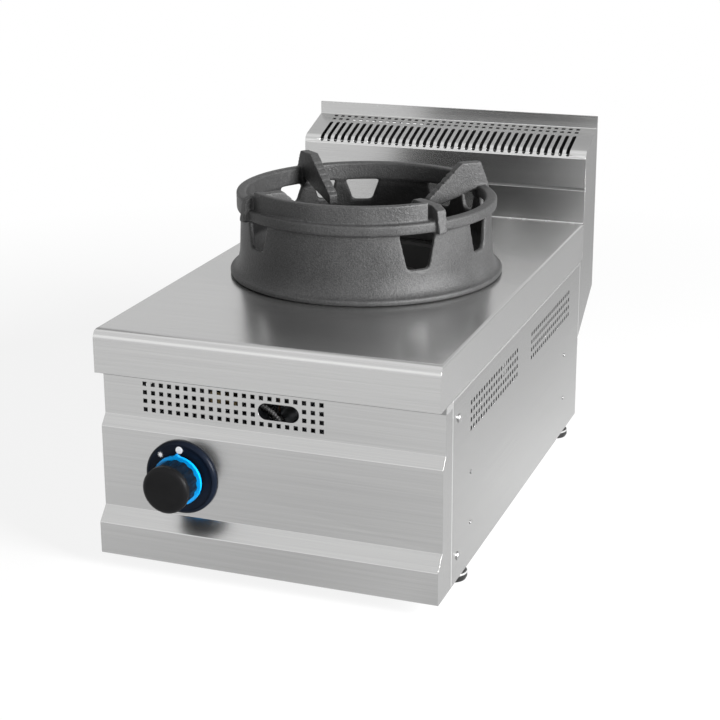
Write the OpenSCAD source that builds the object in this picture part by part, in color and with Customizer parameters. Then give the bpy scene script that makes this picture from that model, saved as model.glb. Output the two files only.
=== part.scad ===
// Countertop wok range: a folded stainless cabinet with a rear flue, a cast iron
// wok ring over one gas burner, and a push-and-turn gas knob on the fascia.
// Millimetres. X runs across, Y to the back, +Z up. The origin is on the table,
// under the middle of the outline. Inside the modules, Y starts at the hob's apron.

/* [Overall] */
// Width of the cabinet
body_w = 400; // [390:1:440]
// Depth from the hob's apron to the back of the flue
body_d = 700; // [690:1:740]
// Height of the hob plate above the table
hob_z = 283; // [280:1:300]
// Height of the cabinet's bottom above the table
base_z = 18; // [16:1:20]

/* [Sheet metal] */
// Thickness of the hob plate
hob_t = 1.5; // [1.2:0.1:2]
// Thickness of the cabinet's sheets
skin_t = 1; // [0.8:0.1:1.2]
// Inside radius of a bend
bend_r = 1; // [0.6:0.1:1.5]
// Width of a stiffening lip
lip_w = 14; // [12:1:16]
// Gap between two pieces that seat on each other
seat_gap = 0.3; // [0.2:0.05:0.4]

/* [Hob] */
// Height of the apron round the hob
apron_h = 50; // [46:1:54]
// Outside radius of the hob's front edge
hob_front_r = 12; // [8:1:16]
// Outside radius of the hob's side edges
hob_side_r = 3; // [2.5:0.5:5]
// Radius of the burner hole
hob_hole_r = 125; // [122:1:128]
// Distance from the apron to the burner's axis
burner_y = 330; // [326:1:336]

/* [Fascia] */
// Setback of the perforated upper fascia from the apron
fascia_y = 20; // [18:1:22]
// Setback of the control panel from the apron
panel_y = 10; // [8:1:12]
// How far the kick plate stands in front of the apron
kick_out = 5; // [3:1:7]
// Height of the fascia's upper step
step_top_z = 179; // [177:1:181]
// Height of the control panel's top edge
panel_top_z = 167; // [165:1:169]
// Height of the control panel's bottom edge
panel_low_z = 72; // [68:1:74]
// Height of the kick plate's top edge
kick_z = 56; // [52:1:60]
// Depth of the fascia's side returns, from the apron
return_y = 42; // [40:1:46]

/* [Perforations] */
// Pitch of the square holes
perf_pitch = 10; // [9.5:0.5:10]
// Side of a square hole
perf_hole = 5; // [4:0.5:5.5]
// Rows of holes
perf_rows = 4; // [3:1:4]
// Columns of holes in the fascia
front_cols = 22; // [20:1:22]
// Distance of the fascia's first column from its left end
front_inset = 51; // [49:1:54]
// Drop of the fascia's top row below the apron
front_drop = 14; // [13:1:15]
// Columns of holes in each group of a side panel
side_cols = 20; // [18:1:20]
// Distance of the first group from the apron
side_group_1 = 112; // [110:1:116]
// Distance of the second group from the apron
side_group_2 = 370; // [366:1:376]
// Drop of a side panel's top row below the apron
side_drop = 25; // [23:1:28]
// Length of the lighting slot
slot_l = 48; // [44:1:49]
// Height of the lighting slot
slot_h = 19; // [16:1:19]

/* [Flue] */
// Depth of the flue box
flue_d = 66; // [62:1:70]
// Height of the flue above the hob
flue_h = 134; // [130:1:140]
// Height of the bend in the slotted cover, above the hob
flue_bend_h = 96; // [94:1:98]
// Height of the top of the cover's slope, above the hob
slope_top_h = 117; // [115:1:119]
// Radius of the cover's front bend
flue_bend_r = 12; // [8:1:14]
// Height of the seam between the two front sheets, above the hob
seam_h = 48; // [44:1:52]
// Width of a flue slot
flue_slot_w = 5; // [4:0.5:6]
// Pitch of the flue slots
flue_pitch = 10; // [9:0.5:10]
// Number of flue slots
flue_slots = 36; // [20:1:36]
// Height of the flue box's rear corner above the table
flue_tail_z = 181; // [176:1:186]
// Height at which the flue box meets the cabinet
flue_foot_z = 128; // [124:1:132]

/* [Wok ring] */
// Outside radius of the ring's rim
rim_r = 165.5; // [164:0.5:168]
// Outside radius of the body above the flare
neck_r = 153; // [152.5:0.5:155]
// Outside radius of the body under the ledge
body_top_r = 151; // [150:0.5:152]
// Wall of the ring's body
ring_wall = 7; // [6:0.5:8]
// Height of the rim's edge
rim_h = 7; // [6:0.5:9]
// Height of the top of the flare
flare_h = 36; // [32:1:40]
// Height of the underside of the ledge
ledge_h = 79; // [78:0.5:82]
// Thickness of the ledge
ledge_t = 13; // [12:0.5:14]
// Outside radius of the ledge
ledge_r = 157; // [156:0.5:159]
// Height of the low band at the left and back
back_band_h = 101.5; // [100:0.5:103]
// Height of the front band
front_band_h = 113; // [111:0.5:115]
// Height of the two back fingers
back_crest_h = 121.5; // [119:0.5:125]
// Height of the two front fingers
front_crest_h = 109; // [106:0.5:112]
// Radius of a finger's inner end
finger_tip_r = 76; // [72:1:80]
// Thickness of a finger
finger_t = 12; // [10:0.5:13]
// Slope of a finger's seat, in degrees
seat_slope = 43; // [42:0.5:44]
// Width of a window at its top
window_w = 44; // [40:1:46]
// Height of the lowest window sill
sill_h = 37; // [34:1:42]

/* [Burner] */
// Outside radius of the burner's gas chamber
chamber_r = 95; // [94:1:97]
// Radius of the air shaft in the middle of the burner
shaft_r = 42; // [40:1:44]
// Wall of the burner's casting
cast_wall = 4; // [3.5:0.5:4.5]
// Outside radius of the crown
crown_r = 86; // [84:1:88]
// Number of flame ports round the crown
port_n = 30; // [20:1:36]
// Radius of a flame port
port_r = 2; // [1.5:0.1:2.2]
// Outside radius of the mixing tube
mixer_r = 21; // [19:0.5:22]

/* [Gas line] */
// Outside radius of the gas pipe
pipe_r = 10.65; // [10.6:0.05:10.8]
// Bore radius of the gas pipe
pipe_bore_r = 8; // [7.5:0.1:8.4]
// Outside radius of the inlet's pipe thread
inlet_r = 10.48; // [10.4:0.01:10.5]
// Length of the inlet's thread
inlet_l = 18; // [16:1:20]
// Outside radius of the ribbed hose
hose_r = 6.4; // [6:0.1:6.8]
// Distance of the hose's loop from the middle, to the left
hose_loop_in = 35; // [32:0.5:35]
// Pitch of the hose's ribs
rib_pitch = 3; // [2.8:0.1:3.6]

/* [Valve and knob] */
// Distance of the knob's axis from the cabinet's left side
knob_in = 98; // [94:1:102]
// Height of the knob's axis
knob_z = 119; // [117:1:121]
// Radius of the bezel
bezel_r = 42.5; // [40:0.5:44]
// Thickness of the bezel
bezel_t = 6; // [5:0.5:7]
// Distance from the control panel to the knob's front face
knob_stand = 46; // [44:1:50]
// Radius of the knob's front cap
knob_cap_r = 27; // [26:0.5:28]
// Radius of the knob's fluted grip
knob_grip_r = 25; // [24:0.5:25.5]
// Number of flutes
flute_n = 14; // [10:1:18]
// Travel of the knob when it is pushed
push_travel = 4; // [3:0.5:4]
// Radius of the valve's spindle
spindle_r = 4; // [3.5:0.1:4.5]
// Radius of the valve's body
valve_r = 17; // [16:0.5:18]

/* [Feet] */
// Radius of a foot
foot_r = 17; // [15:0.5:17.5]
// Distance of a foot's axis from the side of the cabinet
foot_inset_x = 18; // [18:0.5:21]
// Distance of a front foot's axis from the apron
foot_front_y = 106; // [100:1:112]
// Distance of a back foot's axis from the cabinet's back
foot_back_in = 43; // [40:1:50]
// Radius of a foot's threaded stem
stem_r = 5; // [4:0.5:5]
// Travel of a levelling foot
foot_travel = 15; // [10:1:15]

/* [Hidden] */

$fn = 72;
round_fn = 32;
small_fn = 24;
bar_sides = 10;
bend_steps = 5;
// Overrun of every cut past the face that it opens
over = 1;

half_w = body_w / 2;
knob_x = knob_in - half_w;
steel = "silver";
iron = "dimgray";
brass = "goldenrod";

// Planes of the cabinet
hob_d = body_d - flue_d;
apron_z = hob_z - apron_h;
panel_edge_z = apron_z - seat_gap;
cabinet_back_gap = 14;
cabinet_y = hob_d - cabinet_back_gap;
inner_x = half_w - skin_t;
pan_t = 1.2;
pan_z = base_z + skin_t + seat_gap;
pan_top_z = pan_z + pan_t;
lining_x = inner_x - seat_gap;
back_sheet_y = cabinet_y - skin_t - seat_gap - skin_t;
front_lip_y = return_y + skin_t + seat_gap;
knob_front_y = panel_y - knob_stand;
frame_y = -(body_d + knob_front_y) / 2;

// Hob and fascia
hob_lip_w = 8;
fascia_tuck = 29;
fascia_tuck_in = 3;
spindle_hole_r = spindle_r + 3 * hob_t;
slot_first_col = 14;
slot_cols = 5;
slot_rows = [1, 2];

// Side panels
screw_back = 24;
screw_top_drop = 27;
screw_low_rise = 28;
rivet_front_back = 72;
rivet_back_in = 75;
rivet_low_rise = 48;
rivet_high_rise = 108;

// Back panel
flue_window_w = 300;
flue_window_low_z = 145;
flue_window_top_z = 222;
vent_n = 11;
vent_pitch = 22;
vent_w = 5;
vent_l = 34;
vent_low_z = 92;
vent_shift_x = 55;
pan_vent_shares = [0.6, 0.78];
post_w = 26;
post_t = 1.5;

// Flue
upstand_y = body_d - skin_t - seat_gap - skin_t;
flue_top_z = hob_z + flue_h;
seam_z = hob_z + seam_h;
seam_gap = 1;
seam_lap = 14;
slot_rise = 6;
slot_run_share = 0.62;
dash_shares = [0.79, 0.92];
dash_l = 4;
flue_flange_h = 12;
back_slot_n = 3;
back_slot_pitch = 36;
back_slot_l = 33;
back_slot_h = 6;
back_slot_drop = 8;
back_slot_in = 100;

// Wok ring, heights above the hob
ring_z = hob_z + seat_gap;
rim_foot_w = 9;
rim_edge_r = 3;
flare_steps = 8;
ledge_in_r = body_top_r - ring_wall;
ledge_right_r = ledge_r + ring_wall / 7;
back_band_r = ledge_r - ring_wall / 7;
front_band_r = body_top_r - ring_wall / 7;
front_band_in_r = front_band_r - ring_wall - ring_wall / 7;
finger_right_back = 40.5;
finger_left_back = 141.5;
finger_left_front = 226.5;
finger_right_front = 322.5;
window_angles = [-47, -9, 30, 49.5, 69, 111.5, 131, 150, 189, 232.5];
window_w_shares = [1.04, 0.98, 0.86, 0.72, 1, 1, 0.72, 0.86, 0.98, 1];
window_sill_shares = [0, 0.25, 1, 1, 0.8, 0.8, 1, 1, 0.25, 0.45];
sill_rise = 20;
window_foot_share = 0.64;
window_corner_r = 6;
lip_in = 1.5;
seat_h = 77;
tip_under = 12;
finger_root_h = 88;
hook_out = 6;
hook_drop = 2;
back_shoulder = 26;
front_shoulder = 4.5;
notch_n = 6;
full_turn = 360;
notch_r = 1.3;
notch_step = 9;
band_gap_angle = 4.4;
band_start_angle = 2.6;
root_gap_angle = 1;

// Spill bowl
bowl_flange_w = 12;
bowl_t = 1;
bowl_drop = 34;
bowl_clear = 1;

// Burner, worked down from the hob
cap_sink = 13;
cap_top_z = hob_z - cap_sink;
cap_t = 10;
crown_t = 18;
crown_base_z = cap_top_z - cap_t - crown_t;
neck_t = 17;
chamber_h = 46;
burner_base_z = crown_base_z - neck_t - chamber_h;
mixer_z = burner_base_z + chamber_h / 2;
mixer_x = -(chamber_r - cast_wall - mixer_r);
mixer_mouth_y = 100;
mouth_flare_r = 5;
mouth_flare_l = 14;
arm_l = 30;
arm_w = 7;
bracket_t = 5;
bridge_t = 2;
bridge_w = 60;
bridge_half_l = 150;
bridge_foot_w = 22;
injector_r = 7;
injector_hex_r = 10;
injector_l = 24;
run_gap = 0.05;
bracket_y = mixer_mouth_y - arm_l;

// Gas line
elbow_r = 9;
hose_y = bracket_y - injector_hex_r - elbow_r - seat_gap;
nut_l = 8;
nut_r = 9.5;
nut_sides = 6;
hose_bore_r = 4;
hose_root_r = hose_r - 1.2;
hose_cuff = 2 * hose_r;
hose_sides = 8;
pipe_z = 82;
pipe_front_y = 44;
pipe_tail_y = cabinet_y + seat_gap;
locknut_r = 16;
locknut_t = 6;
pipe_end_y = back_sheet_y + skin_t + seat_gap + locknut_t + seat_gap + inlet_l;
cradle_t = 3;
cradle_w = 34;
cradle_front_y = 170;
cradle_back_y = 520;
cradle_foot_l = 22;
plug_l = 12;
plug_head = 6;

// Valve
valve_front_y = 24;
valve_l = 44;
bonnet_t = 5;
valve_bore_r = 9;
plug_front_y = valve_front_y + bonnet_t + 2 * hob_t;
plug_l_axial = 26;
tongue_w = 4;
tongue_l = 9;
plug_port_r = 3;
tongue_clear = 0.2;
saddle_neck_r = 9;
clamp_w = 12;
clamp_t = 3;
outlet_r = 8;
outlet_l = 9;

// Knob
ring_t = 4;
ring_in_r = 23.5;
ring_out_r = 28.5;
pointer_h = 3;
pointer_half = 7;
cap_depth = 11;
flute_r = 7;
flute_deep = 1.3;
knob_wall = 3;
hub_r = 8;
hub_depth = 26;
ring_back_y = panel_y - bezel_t - push_travel - seat_gap;
skirt_y = ring_back_y - ring_t;
spindle_tip_y = panel_y - bezel_t - hub_depth;

// Pilot
pilot_angle = 245;
pilot_r = 5;
pilot_h = 24;
pilot_stand = 3;
probe_r = 3;
probe_h = 27;
tube_r = 2;
lead_r = 1.2;
pilot_plate_t = 3;

// Feet and fasteners
pad_h = 12;
pad_sole_h = 3;
stem_up = 26;
stem_gap = 0.05;
nut_h = 8;
foot_nut_r = 9;
dome_r = 5;
dome_h = 2.4;
shank_r = 2.2;
shank_l = 7;
rivet_r = 2.4;
rivet_h = 0.8;

function unit(v) = v / norm(v);
function left_of(v) = [-v.y, v.x];
function turn(a, b) = atan2(a.x * b.y - a.y * b.x, a.x * b.x + a.y * b.y);
function swing(v, a) = [v.x * cos(a) - v.y * sin(a), v.x * sin(a) + v.y * cos(a)];
function mirrored_y(pts) = [for (i = [len(pts) - 1:-1:0]) [pts[i].x, -pts[i].y]];

// Points of the arc that rounds corner p between directions a and b
function corner_arc(p, a, b, r) =
    let (phi = turn(a, b), side = sign(phi), run = r * tan(abs(phi) / 2),
        start = p - a * run, hub = start + left_of(a) * side * r)
    [for (k = [0:bend_steps]) hub + swing(start - hub, phi * k / bend_steps)];

// An open path with each inner corner rounded by its own radius
function bent_path(pts, radii) = [for (i = [0:len(pts) - 1])
    each (i == 0 || i == len(pts) - 1) ? [pts[i]]
        : corner_arc(pts[i], unit(pts[i] - pts[i - 1]), unit(pts[i + 1] - pts[i]), radii[i - 1])];

// The same path moved sideways, positive to its left
function offset_path(pts, d) = [for (i = [0:len(pts) - 1])
    let (a = i > 0 ? unit(pts[i] - pts[i - 1]) : unit(pts[i + 1] - pts[i]),
        b = i < len(pts) - 1 ? unit(pts[i + 1] - pts[i]) : a)
    pts[i] + (left_of(a) + left_of(b)) * d / (1 + a * b)];

function offset_radii(pts, radii, d) = [for (i = [1:len(pts) - 2])
    radii[i - 1] - d * sign(turn(unit(pts[i] - pts[i - 1]), unit(pts[i + 1] - pts[i])))];

function sheet_outline(pts, radii, t) =
    let (far = bent_path(offset_path(pts, t), offset_radii(pts, radii, t)))
    concat(bent_path(pts, radii), [for (i = [len(far) - 1:-1:0]) far[i]]);

// Moves a sub-part from the apron's frame into the part's frame
module placed() {
    translate([0, frame_y, 0]) children();
}

// Extrudes a side view, drawn as [y, z], along X about the middle
module across(length) {
    rotate([90, 0, 90]) linear_extrude(length, center = true) children();
}

// A cylinder along Y from its nearest face
module along_y(r, l, fn = $fn) {
    rotate([-90, 0, 0]) cylinder(r = r, h = l, $fn = fn);
}

// A cylinder along +X from its left face
module along_x(r, l, fn = $fn) {
    rotate([0, 90, 0]) cylinder(r = r, h = l, $fn = fn);
}

// A box given by its two opposite corners
module span(a, b) {
    translate(a) cube(b - a);
}

// A path in space with each inner corner rounded by radius r
function eased(pts, r) = [for (i = [0:len(pts) - 1]) each (i == 0 || i == len(pts) - 1) ? [pts[i]]
    : let (a = unit(pts[i] - pts[i - 1]), b = unit(pts[i + 1] - pts[i]), phi = acos(min(1, a * b)),
        run = r * tan(phi / 2), inward = unit(b - a), hub = pts[i] + inward * r / cos(phi / 2))
    [for (k = [0:bend_steps]) let (t = phi * (k / bend_steps - 1 / 2))
        hub - inward * r * cos(t) + unit(a + b) * r * sin(t)]];

// A direction square to v, taken from the one before it so that the tube doesn't twist
function squared(v, before) = unit(before - (before * v) * v);
function side_dirs(pts, i, before) = i == len(pts) ? []
    : let (v = unit(pts[min(i + 1, len(pts) - 1)] - pts[max(i - 1, 0)]), s = squared(v, before))
    concat([s], side_dirs(pts, i + 1, s));

// A round bar swept along a bent path
module swept_bar(corners, bend, r, first_side) {
    pts = eased(corners, bend);
    n = len(pts);
    sides = side_dirs(pts, 0, first_side);
    points = [for (i = [0:n - 1]) let (v = unit(pts[min(i + 1, n - 1)] - pts[max(i - 1, 0)]),
        up = cross(v, sides[i]))
        each [for (k = [0:bar_sides - 1]) let (a = 360 * k / bar_sides)
            pts[i] + r * (cos(a) * sides[i] + sin(a) * up)]];
    faces = concat([[for (k = [0:bar_sides - 1]) bar_sides - 1 - k]],
        [for (i = [0:n - 2], k = [0:bar_sides - 1]) let (a = i * bar_sides + k, b = i * bar_sides
            + (k + 1) % bar_sides)
            each [[a, b, b + bar_sides], [a, b + bar_sides, a + bar_sides]]],
        [[for (k = [0:bar_sides - 1]) (n - 1) * bar_sides + k]]);
    polyhedron(points, [for (f = faces) [for (j = [len(f) - 1:-1:0]) f[j]]]);
}

// A rectangle with its two top corners rounded
module top_rounded(w, h, r) {
    translate([-w / 2, 0]) square([w, h - r]);
    translate([-w / 2 + r, 0]) square([w - 2 * r, h]);
    for (s = [-1, 1]) translate([s * (w / 2 - r), h - r]) circle(r);
}

// The hob's folded block, shrunk by an inset on its five closed faces
module hob_block(inset, drop) {
    r = hob_front_r - inset;
    intersection() {
        across(body_w) {
            translate([inset + r, apron_z - drop]) square([hob_d - 2 * inset - r, apron_h + drop - inset]);
            translate([inset, apron_z - drop]) square([r + over, apron_h + drop - inset - r]);
            translate([inset + r, hob_z - inset - r]) circle(r);
        }
        translate([0, hob_d, apron_z - drop]) rotate([90, 0, 0]) linear_extrude(hob_d)
            top_rounded(body_w - 2 * inset, apron_h + drop - inset, hob_side_r - inset);
    }
}

module hob_top() {
    color(steel) placed() {
        difference() {
            hob_block(0, 0);
            hob_block(hob_t, over);
            translate([0, burner_y, hob_z - hob_t - over]) cylinder(r = hob_hole_r, h = hob_t + 2 * over);
        }
        span([-half_w + hob_t, hob_t / 2, apron_z], [half_w - hob_t, hob_lip_w, apron_z + hob_t]);
    }
}

// Square holes on a grid, less the columns and rows that a slot takes
module hole_grid(cols, rows, skip_first = -1, skip_cols = 0, skip_rows = []) {
    for (i = [0:cols - 1], j = [0:rows - 1]) {
        in_slot = i >= skip_first && i < skip_first + skip_cols && len(search(j, skip_rows)) > 0;
        if (!in_slot) translate([i * perf_pitch, -j * perf_pitch]) square(perf_hole, center = true);
    }
}

module obround(l, h) {
    square([l - h, h], center = true);
    for (s = [-1, 1]) translate([s * (l - h) / 2, 0]) circle(d = h);
}

front_path = [[fascia_y, apron_z + fascia_tuck], [fascia_y, step_top_z], [panel_y, panel_top_z],
    [panel_y, panel_low_z], [-kick_out, kick_z], [-kick_out, base_z], [return_y - seat_gap, base_z]];
front_radii = [bend_r, bend_r + skin_t, bend_r, bend_r + skin_t, bend_r + skin_t];
front_face = bent_path(front_path, front_radii);
slot_x = -half_w + front_inset + (slot_first_col + (slot_cols - 1) / 2) * perf_pitch;
slot_z = apron_z - front_drop - 1.5 * perf_pitch;

module front_fascia() {
    color(steel) placed() difference() {
        union() {
            across(body_w) polygon(sheet_outline(front_path, front_radii, skin_t));
            for (s = [-1, 1]) translate([s * (half_w - skin_t / 2), 0, 0])
                across(skin_t) polygon(concat([[return_y - seat_gap, panel_edge_z],
                    [fascia_y, panel_edge_z]],
                    [for (i = [1:len(front_face) - 1]) front_face[i]]));
            for (s = [-1, 1]) span([s > 0 ? half_w - lip_w : -half_w, return_y - seat_gap - skin_t, base_z],
                [s > 0 ? half_w : -half_w + lip_w, return_y - seat_gap, panel_edge_z]);
        }
        for (s = [-1, 1]) translate([s * (half_w + over - (fascia_tuck_in + hob_t + over) / 2), 0,
            panel_edge_z])
            span([-(fascia_tuck_in + hob_t + over) / 2, 0, 0],
                [(fascia_tuck_in + hob_t + over) / 2, 2 * fascia_y, fascia_tuck + over]);
        translate([-half_w + front_inset, fascia_y + skin_t + over, apron_z - front_drop])
            rotate([90, 0, 0])
            linear_extrude(skin_t + 2 * over) hole_grid(front_cols, perf_rows, slot_first_col, slot_cols,
                slot_rows);
        translate([slot_x, fascia_y + skin_t + over, slot_z]) rotate([90, 0, 0])
            linear_extrude(skin_t + 2 * over) obround(slot_l, slot_h);
        translate([knob_x, panel_y - over, knob_z]) along_y(spindle_hole_r, skin_t + 2 * over);
    }
}

side_screw_spots = [[return_y + screw_back, panel_edge_z - screw_top_drop],
    [return_y + screw_back, base_z + screw_low_rise]];
side_rivet_spots = [for (y = [return_y + rivet_front_back, cabinet_y - rivet_back_in],
    z = [base_z + rivet_low_rise, base_z + rivet_high_rise]) [y, z]];

module side_panel() {
    translate([inner_x + skin_t / 2, 0, 0]) across(skin_t) difference() {
        translate([return_y, base_z]) square([cabinet_y - return_y, panel_edge_z - base_z]);
        for (y = [side_group_1, side_group_2]) translate([y, apron_z - side_drop])
            hole_grid(side_cols, perf_rows);
        for (p = side_screw_spots) translate(p) circle(shank_r + seat_gap, $fn = small_fn);
        for (p = side_rivet_spots) translate(p) circle(rivet_r / 2 + seat_gap, $fn = small_fn);
    }
    difference() {
        for (z = [base_z, panel_edge_z - skin_t])
            span([half_w - lip_w, return_y, z], [half_w, cabinet_y, z + skin_t]);
        for (y = [foot_front_y, cabinet_y - foot_back_in])
            translate([foot_x, y, base_z - over])
                cylinder(r = stem_r + 2 * seat_gap, h = skin_t + 2 * over);
    }
    span([half_w - lip_w, return_y, base_z], [half_w, return_y + skin_t, panel_edge_z]);
    difference() {
        span([half_w - lip_w, cabinet_y - skin_t, base_z], [half_w, cabinet_y, panel_edge_z]);
        for (p = back_screw_spots) translate([p.x, cabinet_y - 2 * skin_t, p.y])
            along_y(shank_r + seat_gap, 3 * skin_t);
    }
}

module side_panel_right() {
    color(steel) placed() side_panel();
}

module side_panel_left() {
    color(steel) placed() mirror([1, 0, 0]) side_panel();
}

back_screw_shares = [0.12, 0.36, 0.88];
back_screw_spots = [for (s = [-1, 1], share = back_screw_shares)
    [s * (half_w - lip_w / 2 - skin_t / 2), base_z + share * (panel_edge_z - base_z)]];

module back_panel() {
    color(steel) placed() translate([0, back_sheet_y + skin_t, 0]) rotate([90, 0, 0]) linear_extrude(skin_t)
        difference() {
            translate([-lining_x, pan_top_z + seat_gap])
                square([2 * lining_x, panel_edge_z - skin_t - seat_gap - pan_top_z - seat_gap]);
            translate([-flue_window_w / 2, flue_window_low_z])
                square([flue_window_w, flue_window_top_z - flue_window_low_z]);
            translate([knob_x, pipe_z]) circle(pipe_r + run_gap);
            for (i = [0:vent_n - 1]) translate([vent_shift_x + (i - (vent_n - 1) / 2) * vent_pitch,
                vent_low_z - vent_l / 2])
                rotate(90) obround(vent_l, vent_w);
            for (p = concat(back_screw_spots, flue_screw_spots)) translate(p)
                circle(shank_r + run_gap, $fn = small_fn);
        }
}

foot_spots = [[-1, foot_front_y], [1, foot_front_y], [-1, cabinet_y - foot_back_in],
    [1, cabinet_y - foot_back_in]];
foot_x = half_w - foot_inset_x;

module base_pan() {
    color(steel) placed() difference() {
        union() {
            span([-lining_x, front_lip_y, pan_z], [lining_x, back_sheet_y + skin_t, pan_top_z]);
            span([lip_w + seat_gap - half_w, return_y / 2, pan_z], [half_w - lip_w - seat_gap, 2 * return_y,
                pan_top_z]);
            for (s = [-1, 1]) translate([s * (lining_x - pan_t / 2), 0, 0])
                span([-pan_t / 2, front_lip_y, pan_z],
                    [pan_t / 2, back_sheet_y - seat_gap, pan_top_z + lip_w]);
        }
        for (p = foot_spots) translate([p.x * foot_x, p.y, pan_z - over])
            cylinder(r = stem_r + seat_gap, h = pan_t + 2 * over);
        for (i = [-3:3], share = pan_vent_shares)
            translate([i * vent_pitch, share * burner_y, pan_z - over])
            linear_extrude(pan_t + 2 * over) rotate(90) obround(vent_l, vent_w);
    }
}

// Angle posts behind the side panels' front lips take the side screws
module corner_posts() {
    color(steel) placed() for (s = [-1, 1]) mirror([s < 0 ? 1 : 0, 0, 0]) difference() {
        union() {
            span([lining_x - pan_t - seat_gap - post_t, front_lip_y, pan_top_z + seat_gap],
                [lining_x - pan_t - seat_gap, front_lip_y + post_w + lip_w,
                    panel_edge_z - skin_t - seat_gap]);
            span([lining_x - pan_t - seat_gap - post_w, front_lip_y, pan_top_z + seat_gap],
                [lining_x - pan_t - seat_gap, front_lip_y + post_t, panel_edge_z - skin_t - seat_gap]);
        }
        for (p = side_screw_spots) translate([inner_x - post_w, p.x, p.y])
            along_x(shank_r + run_gap, post_w, small_fn);
    }
}

cover_path = [[hob_d, seam_z + seam_gap / 2], [hob_d, hob_z + flue_bend_h],
    [upstand_y, hob_z + slope_top_h],
    [upstand_y, flue_top_z]];
cover_radii = [flue_bend_r, bend_r];
duct_in = skin_t + seat_gap;

module flue_duct() {
    plate_top = bent_path(offset_path(cover_path, -duct_in),
        offset_radii(cover_path, cover_radii, -duct_in));
    flange_y = cabinet_y + seat_gap + skin_t;
    tail = [[body_d, flue_top_z], [body_d, flue_tail_z], [flange_y, flue_foot_z],
        [flange_y, flue_foot_z - flue_flange_h]];
    color(steel) placed() {
        for (s = [-1, 1]) translate([s * (half_w - skin_t / 2), 0, 0]) across(skin_t)
            polygon(concat([for (i = [1:len(plate_top) - 1]) plate_top[i]],
                [[body_d, flue_top_z], [body_d, flue_tail_z], [cabinet_y + seat_gap, flue_foot_z],
                [cabinet_y + seat_gap, panel_edge_z], [hob_d + seat_gap, panel_edge_z],
                [hob_d + seat_gap, hob_z + seat_gap], [hob_d + duct_in, hob_z + seat_gap]]));
        difference() {
            across(body_w) polygon(sheet_outline(tail, [bend_r + skin_t, bend_r + skin_t, bend_r],
                -skin_t));
            for (p = flue_screw_spots) translate([p.x, cabinet_y - over, p.y])
                along_y(shank_r + run_gap, 2 * over + skin_t, small_fn);
            for (i = [0:back_slot_n - 1]) translate([back_slot_in - half_w
                + (i - (back_slot_n - 1) / 2) * back_slot_pitch,
                body_d + over, hob_z + slope_top_h - back_slot_drop]) rotate([90, 0, 0])
                    linear_extrude(skin_t + 2 * over) obround(back_slot_l, back_slot_h);
        }
    }
}

flue_screw_spots = [for (i = [-2:2]) [i * half_w / 2.6, flue_foot_z - flue_flange_h / 2 - bend_r]];

module flue_front_sheet() {
    lap_y = hob_d + skin_t + seat_gap;
    path = [[hob_d, hob_z + seat_gap], [hob_d, seam_z - seam_gap / 2 - 2 * bend_r - skin_t],
        [lap_y, seam_z - seam_gap / 2], [lap_y, seam_z + seam_lap]];
    color(steel) placed() {
        across(body_w - 2 * skin_t - 2 * seat_gap)
            polygon(sheet_outline(path, [bend_r + skin_t, bend_r], -skin_t));
        for (s = [-1, 1]) span([s > 0 ? half_w - 2 * skin_t - seat_gap : -half_w, hob_d, hob_z + seat_gap],
            [s > 0 ? half_w : -half_w + 2 * skin_t + seat_gap, hob_d + skin_t,
                seam_z - seam_gap / 2 - 2 * bend_r - skin_t]);
    }
}

module flue_cover() {
    run = upstand_y - hob_d;
    slot_low = hob_z + flue_bend_h - slot_rise + flue_slot_w / 2;
    color(steel) placed() difference() {
        across(body_w) polygon(sheet_outline(cover_path, cover_radii, -skin_t));
        for (i = [0:flue_slots - 1]) translate([(i - (flue_slots - 1) / 2) * flue_pitch, hob_d, 0]) {
            span([-flue_slot_w / 2, -over, slot_low], [flue_slot_w / 2, run * slot_run_share, flue_top_z]);
            translate([0, run * slot_run_share, slot_low])
                cylinder(d = flue_slot_w, h = flue_h, $fn = small_fn);
            translate([0, -over, slot_low]) along_y(flue_slot_w / 2, skin_t + 2 * over, small_fn);
            for (share = dash_shares) translate([0, run * share, slot_low])
                span([-flue_slot_w / 2, -dash_l / 2, 0], [flue_slot_w / 2, dash_l / 2, flue_h]);
        }
    }
}

// The flare is a hollow quarter curve from the rim up to the neck
ring_outline = concat(
    [[rim_r - rim_foot_w, 0], [rim_r - rim_edge_r, 0]],
    [for (k = [1:3]) [rim_r - rim_edge_r + rim_edge_r * sin(30 * k),
        rim_edge_r - rim_edge_r * cos(30 * k)]],
    [[rim_r, rim_h - rim_edge_r / 2]],
    [for (k = [0:flare_steps]) let (a = 90 * k / flare_steps)
        [neck_r + (rim_r - rim_edge_r / 2 - neck_r) * (1 - sin(a)),
            rim_h + (flare_h - rim_h) * (1 - cos(a))]],
    [[body_top_r, ledge_h + ledge_t / 2], [ledge_in_r + lip_in, ledge_h + ledge_t / 2],
        [neck_r - ring_wall, flare_h], [neck_r - ring_wall + rim_foot_w / 4, 2 * rim_h]]);

module sector(from, to, r_in, r_out, z_low, z_top) {
    edge = (r_out - r_in) / 8;
    rotate([0, 0, from]) rotate_extrude(angle = to - from)
        polygon([[r_in, z_low], [r_out - edge, z_low], [r_out, z_low + edge], [r_out, z_top - edge],
            [r_out - edge, z_top], [r_in + edge, z_top], [r_in, z_top - edge]]);
}

// A window is wide under the ledge and narrows to a rounded sill
module window_cut(w, sill) {
    foot = w * window_foot_share / 2;
    translate([finger_tip_r + ring_wall, 0, 0]) rotate([90, 0, 90]) linear_extrude(rim_r - finger_tip_r) {
        polygon([[-w / 2, ledge_h + lip_in], [w / 2, ledge_h + lip_in], [foot, sill + window_corner_r],
            [-foot, sill + window_corner_r]]);
        translate([window_corner_r - foot, sill])
            square([2 * (foot - window_corner_r), window_corner_r + over]);
        for (s = [-1, 1]) translate([s * (foot - window_corner_r), sill + window_corner_r])
            circle(window_corner_r);
    }
}

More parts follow.
